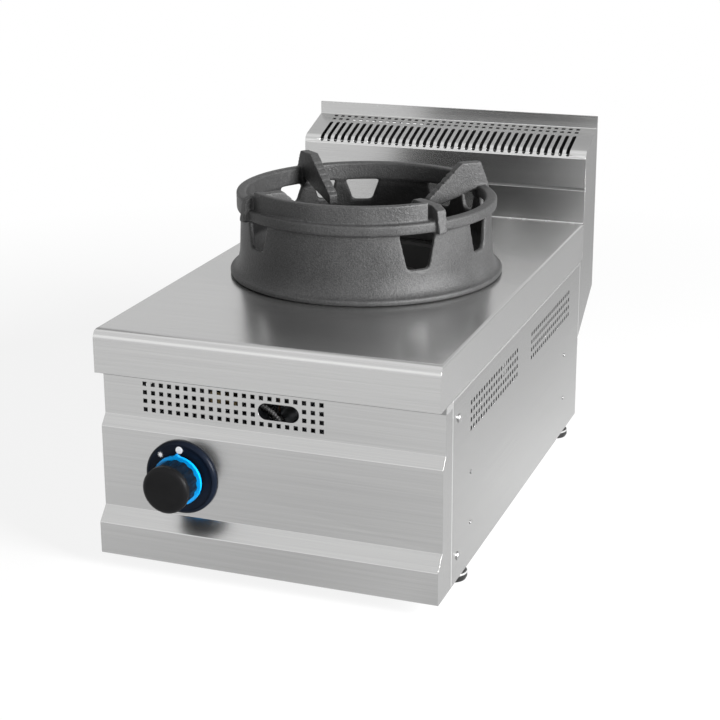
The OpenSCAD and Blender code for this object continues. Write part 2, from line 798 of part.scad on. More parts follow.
// A finger stands on the ledge, hooks over its outside and slopes down to its tip
module finger(crest, shoulder) {
    hook_r = ledge_right_r + hook_out;
    root_r = ledge_in_r - lip_in;
    seat_run = (crest - seat_h) / tan(seat_slope);
    difference() {
        translate([0, finger_t / 2, 0]) rotate([90, 0, 0]) linear_extrude(finger_t) polygon([
            [finger_tip_r, seat_h - tip_under], [finger_tip_r, seat_h], [finger_tip_r + seat_run, crest],
            [body_top_r - ring_wall / 4, crest], [ledge_r + hook_out / 3, crest - shoulder],
            [hook_r, ledge_h - hook_drop], [root_r, ledge_h - hook_drop], [root_r, finger_root_h]]);
        for (k = [1:notch_n]) translate([finger_tip_r, 0, seat_h]) rotate([0, -seat_slope, 0])
            translate([(k - 1 / 2) * notch_step, -finger_t, 0]) along_y(notch_r, 2 * finger_t, small_fn);
    }
}

module ring_wall_cut() {
    difference() {
        rotate_extrude($fn = 180) polygon(ring_outline);
        for (i = [0:len(window_angles) - 1]) rotate([0, 0, window_angles[i]])
            window_cut(window_w * window_w_shares[i], sill_h + sill_rise * window_sill_shares[i]);
    }
}

// The ledge and bands have a height of their own between each two fingers
module ring_bands() {
    g = root_gap_angle;
    sector(finger_left_front + g, finger_right_front - g, ledge_in_r, ledge_r, ledge_h, ledge_h + ledge_t);
    sector(finger_left_front + band_start_angle, finger_right_front - band_gap_angle,
        front_band_in_r, front_band_r, ledge_h + ledge_t / 2, front_band_h);
    sector(finger_right_front - full_turn + g, finger_right_back - g, ledge_in_r, ledge_right_r, ledge_h,
        ledge_h + ledge_t);
    sector(finger_right_back + g, finger_left_back - g, ledge_in_r, back_band_r, ledge_h, back_band_h);
    sector(finger_left_back + g, finger_left_front - g, ledge_in_r, back_band_r, ledge_h, back_band_h);
}

module ring_fingers() {
    for (a = [finger_right_back, finger_left_back]) rotate([0, 0, a]) finger(back_crest_h, back_shoulder);
    for (a = [finger_left_front, finger_right_front]) rotate([0, 0, a])
        finger(front_crest_h, front_shoulder);
}

module wok_ring() {
    color(iron) placed() translate([0, burner_y, ring_z]) {
        ring_wall_cut();
        ring_bands();
        ring_fingers();
    }
}

module spill_bowl() {
    r = hob_hole_r - bowl_clear;
    hole_r = crown_r + pilot_stand + 2 * pilot_r + bowl_clear;
    color(steel) placed() translate([0, burner_y, hob_z]) rotate_extrude()
        polygon([[r + bowl_flange_w, seat_gap], [r + bowl_flange_w, seat_gap + bowl_t],
            [r - bowl_t, seat_gap + bowl_t], [r - bowl_drop / 3, bowl_t - bowl_drop],
                [hole_r, bowl_t - bowl_drop],
            [hole_r, -bowl_drop], [r - bowl_drop / 3, -bowl_drop], [r, -hob_t], [r, seat_gap]]);
}

module burner_bridge() {
    top = burner_base_z - seat_gap;
    color(steel) placed() translate([0, burner_y, 0]) difference() {
        union() {
            span([-bridge_half_l, -bridge_w / 2, top - bridge_t], [bridge_half_l, bridge_w / 2, top]);
            for (s = [-1, 1]) mirror([s < 0 ? 1 : 0, 0, 0]) {
                span([bridge_half_l - bridge_t, -bridge_w / 2, pan_top_z + seat_gap],
                    [bridge_half_l, bridge_w / 2, top]);
                span([bridge_half_l - bridge_t, -bridge_w / 2, pan_top_z + seat_gap],
                    [bridge_half_l + bridge_foot_w, bridge_w / 2, pan_top_z + seat_gap + bridge_t]);
            }
        }
        translate([0, 0, top - bridge_t - over]) cylinder(r = shaft_r / 2, h = bridge_t + 2 * over);
    }
}

burner_outline = [[shaft_r, 0], [chamber_r, 0], [chamber_r, chamber_h], [crown_r, chamber_h + neck_t / 2],
    [crown_r, chamber_h + neck_t], [shaft_r, chamber_h + neck_t]];
burner_hollow = [[shaft_r + cast_wall, cast_wall], [chamber_r - cast_wall, cast_wall],
    [chamber_r - cast_wall, chamber_h], [crown_r - cast_wall, chamber_h + neck_t / 2],
    [crown_r - cast_wall, chamber_h + neck_t + over], [shaft_r + cast_wall, chamber_h + neck_t + over]];

// A ring chamber with a mixing tube that enters it off centre, and arms that hold the injector
module burner_body() {
    color(iron) placed() difference() {
        union() {
            translate([0, burner_y, burner_base_z]) rotate_extrude() polygon(burner_outline);
            translate([mixer_x, mixer_mouth_y, mixer_z]) {
                along_y(mixer_r, burner_y - mixer_mouth_y);
                rotate([-90, 0, 0]) cylinder(r1 = mixer_r + mouth_flare_r, r2 = mixer_r, h = mouth_flare_l);
            }
            for (s = [-1, 1]) translate([mixer_x, 0, mixer_z + s * (mixer_r - cast_wall / 2)])
                span([-arm_w / 2, bracket_y, -cast_wall / 2],
                    [arm_w / 2, mixer_mouth_y + over, cast_wall / 2]);
            translate([mixer_x, 0, mixer_z]) span([-arm_w, bracket_y, -mixer_r],
                [arm_w, bracket_y + bracket_t, mixer_r]);
            translate([mixer_x, bracket_y, mixer_z]) along_y(injector_r + cast_wall, bracket_t);
        }
        translate([0, burner_y, burner_base_z]) rotate_extrude() polygon(burner_hollow);
        translate([mixer_x, mixer_mouth_y - over, mixer_z])
            along_y(mixer_r - cast_wall, burner_y - mixer_mouth_y);
        translate([mixer_x, bracket_y - over, mixer_z]) along_y(injector_r + run_gap, bracket_t + 2 * over);
        translate([0, burner_y, burner_base_z - over])
            cylinder(r = shaft_r, h = chamber_h + neck_t + 2 * over);
    }
}

// The crown sits in the body's mouth and has a row of ports round it
module burner_crown() {
    lip = cast_wall + run_gap;
    color(iron) placed() translate([0, burner_y, crown_base_z + seat_gap]) difference() {
        union() {
            rotate_extrude() polygon([[shaft_r, 0], [crown_r, 0], [crown_r, crown_t - 2 * seat_gap],
                [crown_r - cast_wall, crown_t - 2 * seat_gap], [crown_r - cast_wall, cast_wall],
                [shaft_r + cast_wall, cast_wall], [shaft_r + cast_wall, crown_t - 2 * seat_gap],
                [shaft_r, crown_t - 2 * seat_gap]]);
            for (r = [shaft_r + lip, crown_r - lip - cast_wall]) translate([0, 0, -cast_wall])
                rotate_extrude() translate([r, 0]) square([cast_wall, 1.5 * cast_wall]);
        }
        for (i = [0:port_n - 1]) rotate([0, 0, 360 * i / port_n])
            translate([crown_r - 2 * cast_wall, 0, crown_t / 2]) along_x(port_r, 3 * cast_wall, small_fn);
        for (i = [0:port_n / 3 - 1]) rotate([0, 0, 1080 * i / port_n])
            translate([(shaft_r + crown_r) / 2, 0, -cast_wall])
                cylinder(r = 2 * cast_wall - over, h = 3 * cast_wall);
    }
}

module burner_cap() {
    color(iron) placed() translate([0, burner_y, crown_base_z + crown_t]) difference() {
        rotate_extrude() polygon([[shaft_r + cast_wall + run_gap, -cast_wall],
            [shaft_r + 2 * cast_wall, -cast_wall],
            [shaft_r + 2 * cast_wall, 0], [crown_r - 2 * cast_wall, 0],
                [crown_r - 2 * cast_wall, -cast_wall],
            [crown_r - cast_wall - run_gap, -cast_wall], [crown_r - cast_wall - run_gap, 0], [crown_r, 0],
            [crown_r, cap_t / 3], [crown_r - cap_t, cap_t], [shaft_r + cap_t / 2, cap_t],
                [shaft_r, cap_t / 2],
            [shaft_r, 0], [shaft_r + cast_wall + run_gap, 0]]);
        for (i = [0:port_n - 1]) rotate([0, 0, 360 * (i + 0.5) / port_n])
            translate([(shaft_r + crown_r) / 2, 0, -over])
                cylinder(r = port_r, h = cap_t + 2 * over, $fn = small_fn);
    }
}

// A slotted disc that closes the mixing tube's mouth more or less
module air_shutter() {
    color(brass) placed() translate([mixer_x, mixer_mouth_y - seat_gap - bridge_t, mixer_z]) difference() {
        along_y(mixer_r - cast_wall - seat_gap, bridge_t);
        translate([0, -over, 0]) along_y(injector_r + run_gap, bridge_t + 2 * over);
        for (a = [0:120:240]) rotate([0, a, 0])
            translate([0, -over, (mixer_r + injector_r) / 2 - cast_wall / 2])
            along_y(cast_wall / 2, bridge_t + 2 * over, small_fn);
    }
}

module injector() {
    color(brass) placed() translate([mixer_x, 0, mixer_z]) difference() {
        union() {
            translate([0, bracket_y - injector_hex_r, 0])
                along_y(injector_hex_r, injector_hex_r - seat_gap, nut_sides);
            translate([0, bracket_y - seat_gap - over, 0])
                along_y(injector_r, mixer_mouth_y + over - bracket_y);
        }
        translate([0, bracket_y - injector_hex_r - over, 0])
            along_y(hose_bore_r, injector_hex_r + injector_l - hose_bore_r);
        translate([0, bracket_y, 0]) along_y(port_r / 2, arm_l + over, small_fn);
    }
}

// Turns the gas from the hose, along X, into the injector, along Y
module injector_elbow() {
    color(brass) placed() translate([mixer_x, hose_y, mixer_z]) difference() {
        union() {
            span([-elbow_r, -elbow_r, -elbow_r], [elbow_r, elbow_r, elbow_r]);
            along_x(elbow_r * 5 / 6, elbow_r + elbow_r / 2);
        }
        translate([0, -hose_bore_r, 0]) along_y(hose_bore_r, 2 * elbow_r);
        along_x(hose_bore_r - seat_gap, 2 * elbow_r);
    }
}

// The hose leaves the valve to the right, loops up and comes back to the elbow
hose_start_x = knob_x + valve_r + outlet_l + seat_gap + nut_l + seat_gap;
hose_end_x = mixer_x + 1.5 * elbow_r + seat_gap + nut_l + seat_gap;
loop_r = (mixer_z - knob_z) / 2;
loop_x = -hose_loop_in;
low_run = loop_x - hose_start_x;
top_run = loop_x - hose_end_x;
hose_l = low_run + PI * loop_r + top_run;
rib_n = floor((hose_l - 2 * hose_cuff) / rib_pitch);
rib_start = (hose_l - rib_n * rib_pitch) / 2;

// Place and in-plane normal of the hose at distance s from the valve
function hose_at(s) = s < low_run ? [hose_start_x + s, knob_z]
    : s < low_run + PI * loop_r ? let (a = (s - low_run) / loop_r * 180 / PI)
        [loop_x + loop_r * sin(a), knob_z + loop_r - loop_r * cos(a)]
    : [loop_x - (s - low_run - PI * loop_r), mixer_z];
function hose_normal(s) = let (a = min(max((s - low_run) / loop_r * 180 / PI, 0), 180)) [-sin(a), cos(a)];
function hose_ring(s, r) = let (c = hose_at(s), n = hose_normal(s)) [for (k = [0:hose_sides - 1])
    let (a = 360 * k / hose_sides) [c.x + n.x * r * cos(a), hose_y + r * sin(a), c.y + n.y * r * cos(a)]];

outer_stops = concat([[0, hose_root_r]], [for (i = [0:rib_n - 1], h = [0, 1])
    [rib_start + (i + h / 2) * rib_pitch, h == 0 ? hose_root_r : hose_r]],
    [[rib_start + rib_n * rib_pitch, hose_root_r], [hose_l, hose_root_r]]);
bore_n = ceil(hose_l / (2 * hose_r));
bore_stops = [for (i = [0:bore_n]) [hose_l * i / bore_n, hose_bore_r]];
hose_check = [for (i = [0:bore_n]) hose_at(hose_l * i / bore_n)];
hose_gap = min([for (i = [0:bore_n], j = [0:bore_n]) if (j > i + 4)
    norm(hose_check[i] - hose_check[j])]) - 2 * hose_r;
echo(hose_length = hose_l, ribs = rib_n, hose_least_gap = hose_gap);

function quads(first, rings, flip) = [for (i = [0:rings - 2], k = [0:hose_sides - 1])
    let (a = first + i * hose_sides + k, b = first + i * hose_sides + (k + 1) % hose_sides,
        c = b + hose_sides, d = a + hose_sides)
    each flip ? [[a, c, b], [a, d, c]] : [[a, b, c], [a, c, d]]];
function ring_faces(a0, b0, flip) = [for (k = [0:hose_sides - 1])
    let (a = a0 + k, b = a0 + (k + 1) % hose_sides, c = b0 + (k + 1) % hose_sides, d = b0 + k)
    each flip ? [[a, c, b], [a, d, c]] : [[a, b, c], [a, c, d]]];

module ribbed_hose() {
    bore_first = len(outer_stops) * hose_sides;
    points = concat([for (s = outer_stops) each hose_ring(s[0], s[1])],
        [for (s = bore_stops) each hose_ring(s[0], s[1])]);
    faces = concat(quads(0, len(outer_stops), true), quads(bore_first, len(bore_stops), false),
        ring_faces(0, bore_first, false),
        ring_faces((len(outer_stops) - 1) * hose_sides, bore_first + (len(bore_stops) - 1) * hose_sides,
            true));
    color(steel) placed() polyhedron(points, faces);
}

module hose_nut() {
    difference() {
        along_x(nut_r, nut_l, nut_sides);
        translate([-over, 0, 0]) along_x(hose_bore_r, nut_l + 2 * over);
    }
}

module hose_nuts() {
    color(brass) placed() {
        translate([hose_start_x - seat_gap - nut_l, hose_y, knob_z]) hose_nut();
        translate([hose_end_x - seat_gap - nut_l, hose_y, mixer_z]) hose_nut();
    }
}

module gas_pipe() {
    color(steel) placed() translate([knob_x, 0, pipe_z]) difference() {
        union() {
            translate([0, pipe_front_y, 0]) along_y(pipe_r, pipe_end_y - inlet_l - pipe_front_y);
            translate([0, pipe_end_y - inlet_l - over, 0]) along_y(inlet_r, inlet_l + over);
        }
        translate([0, pipe_front_y - over, 0]) along_y(pipe_bore_r, pipe_end_y - pipe_front_y + 2 * over);
        translate([0, hose_y, 0]) cylinder(r = hose_bore_r, h = pipe_r + over);
    }
}

module pipe_plug() {
    color(brass) placed() translate([knob_x, pipe_front_y, pipe_z]) {
        translate([0, -seat_gap - plug_head, 0]) along_y(pipe_r, plug_head, nut_sides);
        translate([0, -seat_gap - over, 0]) along_y(pipe_bore_r - run_gap, plug_l);
    }
}

module inlet_locknut() {
    color(brass) placed() translate([knob_x, back_sheet_y + skin_t + seat_gap, pipe_z]) difference() {
        along_y(locknut_r, locknut_t, nut_sides);
        translate([0, -over, 0]) along_y(pipe_r + run_gap, locknut_t + 2 * over);
    }
}

module pipe_cradles() {
    color(steel) placed() for (y = [cradle_front_y, cradle_back_y]) translate([knob_x, y, 0]) difference() {
        union() {
            span([-cradle_w / 2, -cradle_t / 2, pan_top_z + seat_gap],
                [cradle_w / 2, cradle_t / 2, pipe_z]);
            span([-cradle_w / 2, -cradle_t / 2, pan_top_z + seat_gap],
                [cradle_w / 2, cradle_foot_l, pan_top_z + seat_gap + cradle_t]);
        }
        translate([0, -cradle_t, pipe_z]) along_y(pipe_r + seat_gap, 2 * cradle_t);
    }
}

// A brass cock on the pipe: its plug turns in the bore, and the outlet feeds the hose
module valve_body() {
    color(brass) placed() translate([knob_x, 0, knob_z]) difference() {
        union() {
            translate([0, valve_front_y, 0]) along_y(valve_r, valve_l);
            translate([0, hose_y, pipe_z - knob_z]) cylinder(r = saddle_neck_r, h = knob_z - pipe_z);
            translate([0, hose_y, 0]) along_x(outlet_r, valve_r + outlet_l);
        }
        translate([0, plug_front_y - bonnet_t / 5, 0])
            along_y(valve_bore_r + run_gap, plug_l_axial + bonnet_t);
        translate([0, valve_front_y - over, 0]) along_y(spindle_r + run_gap, valve_l / 2);
        translate([0, hose_y, 0]) along_x(hose_bore_r, valve_r + outlet_l + over);
        translate([0, hose_y, pipe_z - knob_z]) cylinder(r = hose_bore_r, h = knob_z - pipe_z);
        translate([0, valve_front_y - over, pipe_z - knob_z])
            along_y(pipe_r + seat_gap, valve_l + 2 * over);
    }
}

module valve_saddle_clamp() {
    color(steel) placed() translate([knob_x, hose_y, pipe_z]) difference() {
        union() {
            translate([0, -clamp_w / 2, 0]) along_y(pipe_r + seat_gap + clamp_t, clamp_w);
            translate([0, 0, pipe_r - clamp_t]) cylinder(r = saddle_neck_r + clamp_t, h = 3 * clamp_t);
        }
        translate([0, -clamp_w, 0]) along_y(pipe_r + seat_gap, 2 * clamp_w);
        cylinder(r = saddle_neck_r + seat_gap, h = 2 * pipe_r + clamp_t);
        for (s = [-1, 1]) translate([0, s * (saddle_neck_r + clamp_t), pipe_r + clamp_t])
            rotate([90, 0, 0]) cylinder(r = port_r, h = 2 * clamp_t, center = true, $fn = small_fn);
    }
}

tongue_y = plug_front_y + tongue_l;

// The plug turns with the spindle, and its slot lets the spindle slide in
module valve_plug() {
    color(brass) placed() translate([knob_x, plug_front_y, knob_z]) difference() {
        along_y(valve_bore_r, plug_l_axial);
        translate([0, -over, 0]) along_y(spindle_r + run_gap, over + tongue_l / 2 + push_travel
            + tongue_clear);
        span([-spindle_r - tongue_clear, 0, -tongue_w / 2 - tongue_clear],
            [spindle_r + tongue_clear, tongue_l + push_travel + 2 * tongue_clear,
                tongue_w / 2 + tongue_clear]);
        translate([0, hose_y - plug_front_y, 0]) for (a = [0, -90]) rotate([0, a, 0])
            translate([0, 0, -valve_r]) cylinder(r = plug_port_r, h = valve_r);
    }
}

module valve_spindle() {
    color(brass) placed() translate([knob_x, 0, knob_z]) {
        translate([0, spindle_tip_y, 0]) along_y(spindle_r, plug_front_y + tongue_l / 2 - spindle_tip_y);
        span([-spindle_r + tongue_clear, plug_front_y, -tongue_w / 2],
            [spindle_r - tongue_clear, tongue_y, tongue_w / 2]);
    }
}

// A hollow knob with a domed cap and a fluted grip
module knob() {
    grip_l = skirt_y - knob_front_y;
    color("black") placed() translate([knob_x, skirt_y, knob_z]) rotate([90, 0, 0]) difference() {
        union() {
            difference() {
                rotate_extrude() polygon([[0, 0], [knob_grip_r, 0], [knob_grip_r, grip_l - cap_depth],
                    [0, grip_l - cap_depth]]);
                for (i = [0:flute_n - 1]) rotate([0, 0, 360 * i / flute_n])
                    translate([knob_grip_r + flute_r - flute_deep, 0, -over])
                        cylinder(r = flute_r, h = grip_l, $fn = round_fn);
            }
            translate([0, 0, grip_l - cap_depth]) rotate_extrude() polygon([[0, 0], [knob_grip_r, 0],
                [knob_cap_r, cap_depth / 4], [knob_cap_r, cap_depth * 0.72],
                    [knob_cap_r - cap_depth / 5, cap_depth * 0.93],
                [knob_cap_r - cap_depth / 2, cap_depth], [0, cap_depth]]);
        }
        difference() {
            translate([0, 0, -over]) cylinder(r = knob_grip_r - knob_wall - flute_deep,
                h = grip_l - cap_depth + over);
            translate([0, 0, -over]) cylinder(r = hub_r, h = grip_l + over);
        }
        translate([0, 0, -over]) cylinder(r = spindle_r + run_gap, h = skirt_y - spindle_tip_y + seat_gap
            + over);
    }
}

module knob_blue_ring() {
    color("deepskyblue") placed() translate([knob_x, ring_back_y, knob_z]) rotate([90, 0, 0])
        linear_extrude(ring_t - seat_gap) difference() {
            union() {
                circle(ring_out_r);
                polygon([for (a = [90 - pointer_half, 90, 90 + pointer_half])
                    (a == 90 ? ring_out_r + pointer_h : ring_out_r) * [cos(a), sin(a)]]);
            }
            circle(ring_in_r);
        }
}

module knob_bezel() {
    color("black") placed() translate([knob_x, panel_y - seat_gap, knob_z]) rotate([90, 0, 0])
        difference() {
        rotate_extrude() polygon([[0, 0], [bezel_r, 0], [bezel_r, bezel_t / 2],
            [bezel_r - bezel_t / 2, bezel_t - seat_gap],
            [bezel_r - bezel_t, bezel_t - seat_gap], [bezel_r - bezel_t - seat_gap, bezel_t - 3 * seat_gap],
            [0, bezel_t - 3 * seat_gap]]);
        translate([0, 0, -over]) cylinder(r = spindle_hole_r, h = bezel_t + 2 * over);
    }
}

pilot_at = [(crown_r + pilot_stand + pilot_r) * cos(pilot_angle),
    burner_y + (crown_r + pilot_stand + pilot_r) * sin(pilot_angle)];
probe_at = [(crown_r + pilot_stand + pilot_r) * cos(pilot_angle + 10),
    burner_y + (crown_r + pilot_stand + pilot_r) * sin(pilot_angle + 10)];
pilot_low_z = burner_base_z + chamber_h + 0.75 * neck_t;

module pilot_burner() {
    color(brass) placed() {
        difference() {
            union() {
                translate([pilot_at.x, pilot_at.y, pilot_low_z])
                    cylinder(r = pilot_r, h = pilot_h, $fn = round_fn);
                translate([0, burner_y, pilot_low_z]) rotate([0, 0, pilot_angle - 8])
                    rotate_extrude(angle = 26)
                    translate([crown_r + seat_gap, 0]) square([pilot_stand + 2 * pilot_r, pilot_plate_t]);
            }
            translate([pilot_at.x, pilot_at.y, pilot_low_z - over])
                cylinder(r = tube_r / 2, h = pilot_h + 2 * over, $fn = small_fn);
            translate([probe_at.x, probe_at.y, pilot_low_z - over])
                cylinder(r = probe_r + run_gap, h = pilot_plate_t + 2 * over, $fn = round_fn);
        }
    }
}

module pilot_tube() {
    lift = [0, 0, -1.6 * pilot_r];
    top = [pilot_at.x, pilot_at.y, pilot_low_z - seat_gap];
    color("peru") placed() swept_bar([[knob_x, plug_front_y + plug_l_axial - tube_r, knob_z + valve_r
        + seat_gap / 2],
        [knob_x, plug_front_y + plug_l_axial - tube_r, mixer_z + mixer_r + mouth_flare_r],
        [pilot_at.x, plug_front_y + plug_l_axial + arm_l, mixer_z + mixer_r + 2 * mouth_flare_r],
        [pilot_at.x, pilot_at.y - 2 * pilot_r, mixer_z + mixer_r + 2 * mouth_flare_r] + lift / 5,
        top + lift, top], 2 * tube_r, tube_r, [1, 0, 0]);
}

module thermocouple() {
    color("peru") placed() translate([probe_at.x, probe_at.y, pilot_low_z - probe_r])
        cylinder(r = probe_r, h = probe_h, $fn = round_fn);
}

module thermocouple_lead() {
    top = [probe_at.x, probe_at.y, pilot_low_z - probe_r - seat_gap];
    low = [0, 0, -1.1 * pilot_r];
    color("peru") placed() swept_bar([top, top + low, [mixer_x + 2 * mixer_r + arm_w, mixer_mouth_y,
        mixer_z + mixer_r],
        [mixer_x + 2 * mixer_r + arm_w, valve_front_y + valve_l + arm_l, knob_z - valve_r],
        [knob_x + valve_r / 2, valve_front_y + valve_l + arm_l, knob_z],
        [knob_x + valve_r / 2, valve_front_y + valve_l + seat_gap, knob_z]], 3 * lead_r, lead_r, [1, 0, 0]);
}

// A rubber-soled pad on a threaded stem that screws up into the cabinet
module foot(p) {
    color("dimgray") placed() translate([p.x * foot_x, p.y, 0]) {
        rotate_extrude() polygon([[0, 0], [foot_r - pad_sole_h / 2, 0], [foot_r, pad_sole_h],
            [foot_r, pad_h * 0.75],
            [foot_r - pad_sole_h, pad_h], [0, pad_h]]);
        cylinder(r = stem_r, h = base_z + stem_up);
        translate([0, 0, pad_h - over]) cylinder(r = foot_nut_r, h = base_z - pad_h + over - seat_gap,
            $fn = nut_sides);
    }
}

module foot_front_left() { foot(foot_spots[0]); }
module foot_front_right() { foot(foot_spots[1]); }
module foot_back_left() { foot(foot_spots[2]); }
module foot_back_right() { foot(foot_spots[3]); }

module foot_nuts() {
    color(steel) placed() for (p = foot_spots) translate([p.x * foot_x, p.y, pan_top_z + seat_gap])
        difference() {
        cylinder(r = foot_nut_r, h = nut_h, $fn = nut_sides);
        translate([0, 0, -over]) cylinder(r = stem_r + stem_gap, h = nut_h + 2 * over);
    }
}

// A domed head on a plain shank, pointing along +Z from its seat
module dome_screw() {
    rotate_extrude($fn = round_fn) polygon(concat([[0, -shank_l], [shank_r, -shank_l], [shank_r, 0],
        [dome_r, 0]],
        [for (k = [1:5]) [dome_r * cos(18 * k), dome_h * sin(18 * k)]]));
}

module side_screws() {
    color(steel) placed() for (s = [-1, 1], p = side_screw_spots)
        translate([s * (half_w + seat_gap), p.x, p.y]) rotate([0, s * 90, 0]) dome_screw();
}

module side_rivets() {
    color(steel) placed() for (s = [-1, 1], p = side_rivet_spots)
        translate([s * half_w, p.x, p.y]) rotate([0, s * 90, 0]) {
            translate([0, 0, -skin_t - lip_w / 7])
                cylinder(r = rivet_r / 2, h = skin_t + lip_w / 7 + rivet_h, $fn = small_fn);
            translate([0, 0, seat_gap / 3]) cylinder(r = rivet_r, h = rivet_h, $fn = small_fn);
        }
}

module flue_screws() {
    color(steel) placed() for (p = flue_screw_spots)
        translate([p.x, cabinet_y + 2 * seat_gap + skin_t, p.y]) rotate([-90, 0, 0]) dome_screw();
}

module back_panel_screws() {
    color(steel) placed() for (p = back_screw_spots)
        translate([p.x, cabinet_y + seat_gap, p.y]) rotate([-90, 0, 0]) dome_screw();
}

hob_top();
front_fascia();
side_panel_left();
side_panel_right();
back_panel();
base_pan();
corner_posts();
flue_duct();
flue_front_sheet();
flue_cover();
wok_ring();
spill_bowl();
burner_bridge();
burner_body();
burner_crown();
burner_cap();
air_shutter();
injector();
injector_elbow();
hose_nuts();
ribbed_hose();
gas_pipe();
pipe_plug();
inlet_locknut();
pipe_cradles();
valve_body();
valve_saddle_clamp();
valve_plug();
valve_spindle();
knob();
knob_blue_ring();
knob_bezel();
pilot_burner();
pilot_tube();
thermocouple();
thermocouple_lead();
foot_front_left();
foot_front_right();
foot_back_left();
foot_back_right();
foot_nuts();
side_screws();
side_rivets();
flue_screws();
back_panel_screws();
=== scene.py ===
"""Looks for a countertop gas wok range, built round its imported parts, in metres."""

import logging
import math
from dataclasses import dataclass
from enum import Enum
from typing import Callable, Sequence, Union

import bmesh
import bpy
from mathutils import Matrix, Vector


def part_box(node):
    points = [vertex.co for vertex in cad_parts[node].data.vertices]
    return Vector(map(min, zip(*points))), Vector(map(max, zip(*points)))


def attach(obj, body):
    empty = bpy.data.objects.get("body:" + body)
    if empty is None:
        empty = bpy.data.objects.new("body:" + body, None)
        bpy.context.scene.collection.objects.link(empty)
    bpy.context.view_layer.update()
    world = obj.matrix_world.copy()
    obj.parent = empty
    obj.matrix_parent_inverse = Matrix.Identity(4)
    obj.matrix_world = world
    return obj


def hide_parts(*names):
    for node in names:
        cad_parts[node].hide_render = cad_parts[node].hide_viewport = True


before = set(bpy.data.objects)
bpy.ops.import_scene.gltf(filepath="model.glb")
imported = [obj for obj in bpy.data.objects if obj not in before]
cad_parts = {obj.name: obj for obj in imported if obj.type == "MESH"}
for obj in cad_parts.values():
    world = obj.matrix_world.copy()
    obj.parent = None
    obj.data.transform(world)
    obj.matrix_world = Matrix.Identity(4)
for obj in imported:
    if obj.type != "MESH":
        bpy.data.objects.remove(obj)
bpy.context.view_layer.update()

LOG = logging.getLogger("wok_range")
MM = 0.001
X, Y, Z = 0, 1, 2
Colour = tuple[float, float, float]
Point = tuple[float, float, float]
Pair = tuple[float, float]
Paint = Union[Colour, bpy.types.NodeSocket]
Mask = Callable[["Shader"], "Number"]
WHITE: Colour = (1.0, 1.0, 1.0)
BLACK: Colour = (0.0, 0.0, 0.0)
# Near-black for painted shade and for the spill bowl's darkening.
SHADE_AND_DARKENING: Colour = (0.006, 0.006, 0.006)
RING_AXIS: Pair = (0.0, -2 * MM)
SMOOTH_ANGLE, FLAT_ANGLE = 32.0, 0.4
WELD = 0.001 * MM


class Grain(Enum):
    """The direction in which a sheet was brushed."""

    ACROSS = X
    FRONT_TO_BACK = Y
    UPRIGHT = Z


# Node tools


class Value:
    """A number that a shader works out, written with the usual operators."""

    def __init__(self, shader: "ShaderTree", socket: bpy.types.NodeSocket) -> None:
        """Wraps a socket.

        Args:
            shader: The tree that holds the socket.
            socket: The output that gives the number.
        """
        self.shader, self.socket = shader, socket

    def _maths(self, operation: str, a: "Number", b: "Number") -> "Value":
        """Adds one Math node."""
        return self.shader.value("ShaderNodeMath", {"operation": operation}, {0: a, 1: b})

    def __add__(self, other: "Number") -> "Value":
        """Adds."""
        return self._maths("ADD", self, other)

    __radd__ = __add__

    def __sub__(self, other: "Number") -> "Value":
        """Takes away."""
        return self._maths("SUBTRACT", self, other)

    def __rsub__(self, other: "Number") -> "Value":
        """Takes this from a number."""
        return self._maths("SUBTRACT", other, self)

    def __mul__(self, other: "Number") -> "Value":
        """Multiplies."""
        return self._maths("MULTIPLY", self, other)

    __rmul__ = __mul__

    def __pow__(self, other: "Number") -> "Value":
        """Raises to a power."""
        return self._maths("POWER", self, other)

    def over(self, edge: "Number") -> "Value":
        """Gives 1 where this is above the edge."""
        return self._maths("GREATER_THAN", self, edge)

    def between(self, low: float, high: float) -> "Value":
        """Runs from 0 at low to 1 at high, held at both ends."""
        return self.shader.value("ShaderNodeMapRange", {"clamp": True},
                                 {"Value": self, "From Min": low, "From Max": high})


Number = Union[Value, float]


class Nodes:
    """A node tree under construction."""

    def __init__(self, tree: bpy.types.NodeTree) -> None:
        """Empties the tree."""
        self.tree = tree
        tree.nodes.clear()

    def node(self, kind: str, settings: dict | None = None, inputs: dict | None = None) -> bpy.types.Node:
        """Adds a node.

        Args:
            kind: The node's type.
            settings: Its own settings, set first.
            inputs: What each input gets, by name or number: a plain value, a socket, a Value, or a list of sockets.

        Returns:
            The node.
        """
        made = self.tree.nodes.new(kind)
        for key, setting in (settings or {}).items():
            setattr(made, key, setting)
        for key, given in (inputs or {}).items():
            for one in given if isinstance(given, list) else [given]:
                one = one.socket if isinstance(one, Value) else one
                if isinstance(one, bpy.types.NodeSocket):
                    self.tree.links.new(one, made.inputs[key])
                else:
                    made.inputs[key].default_value = one
        return made


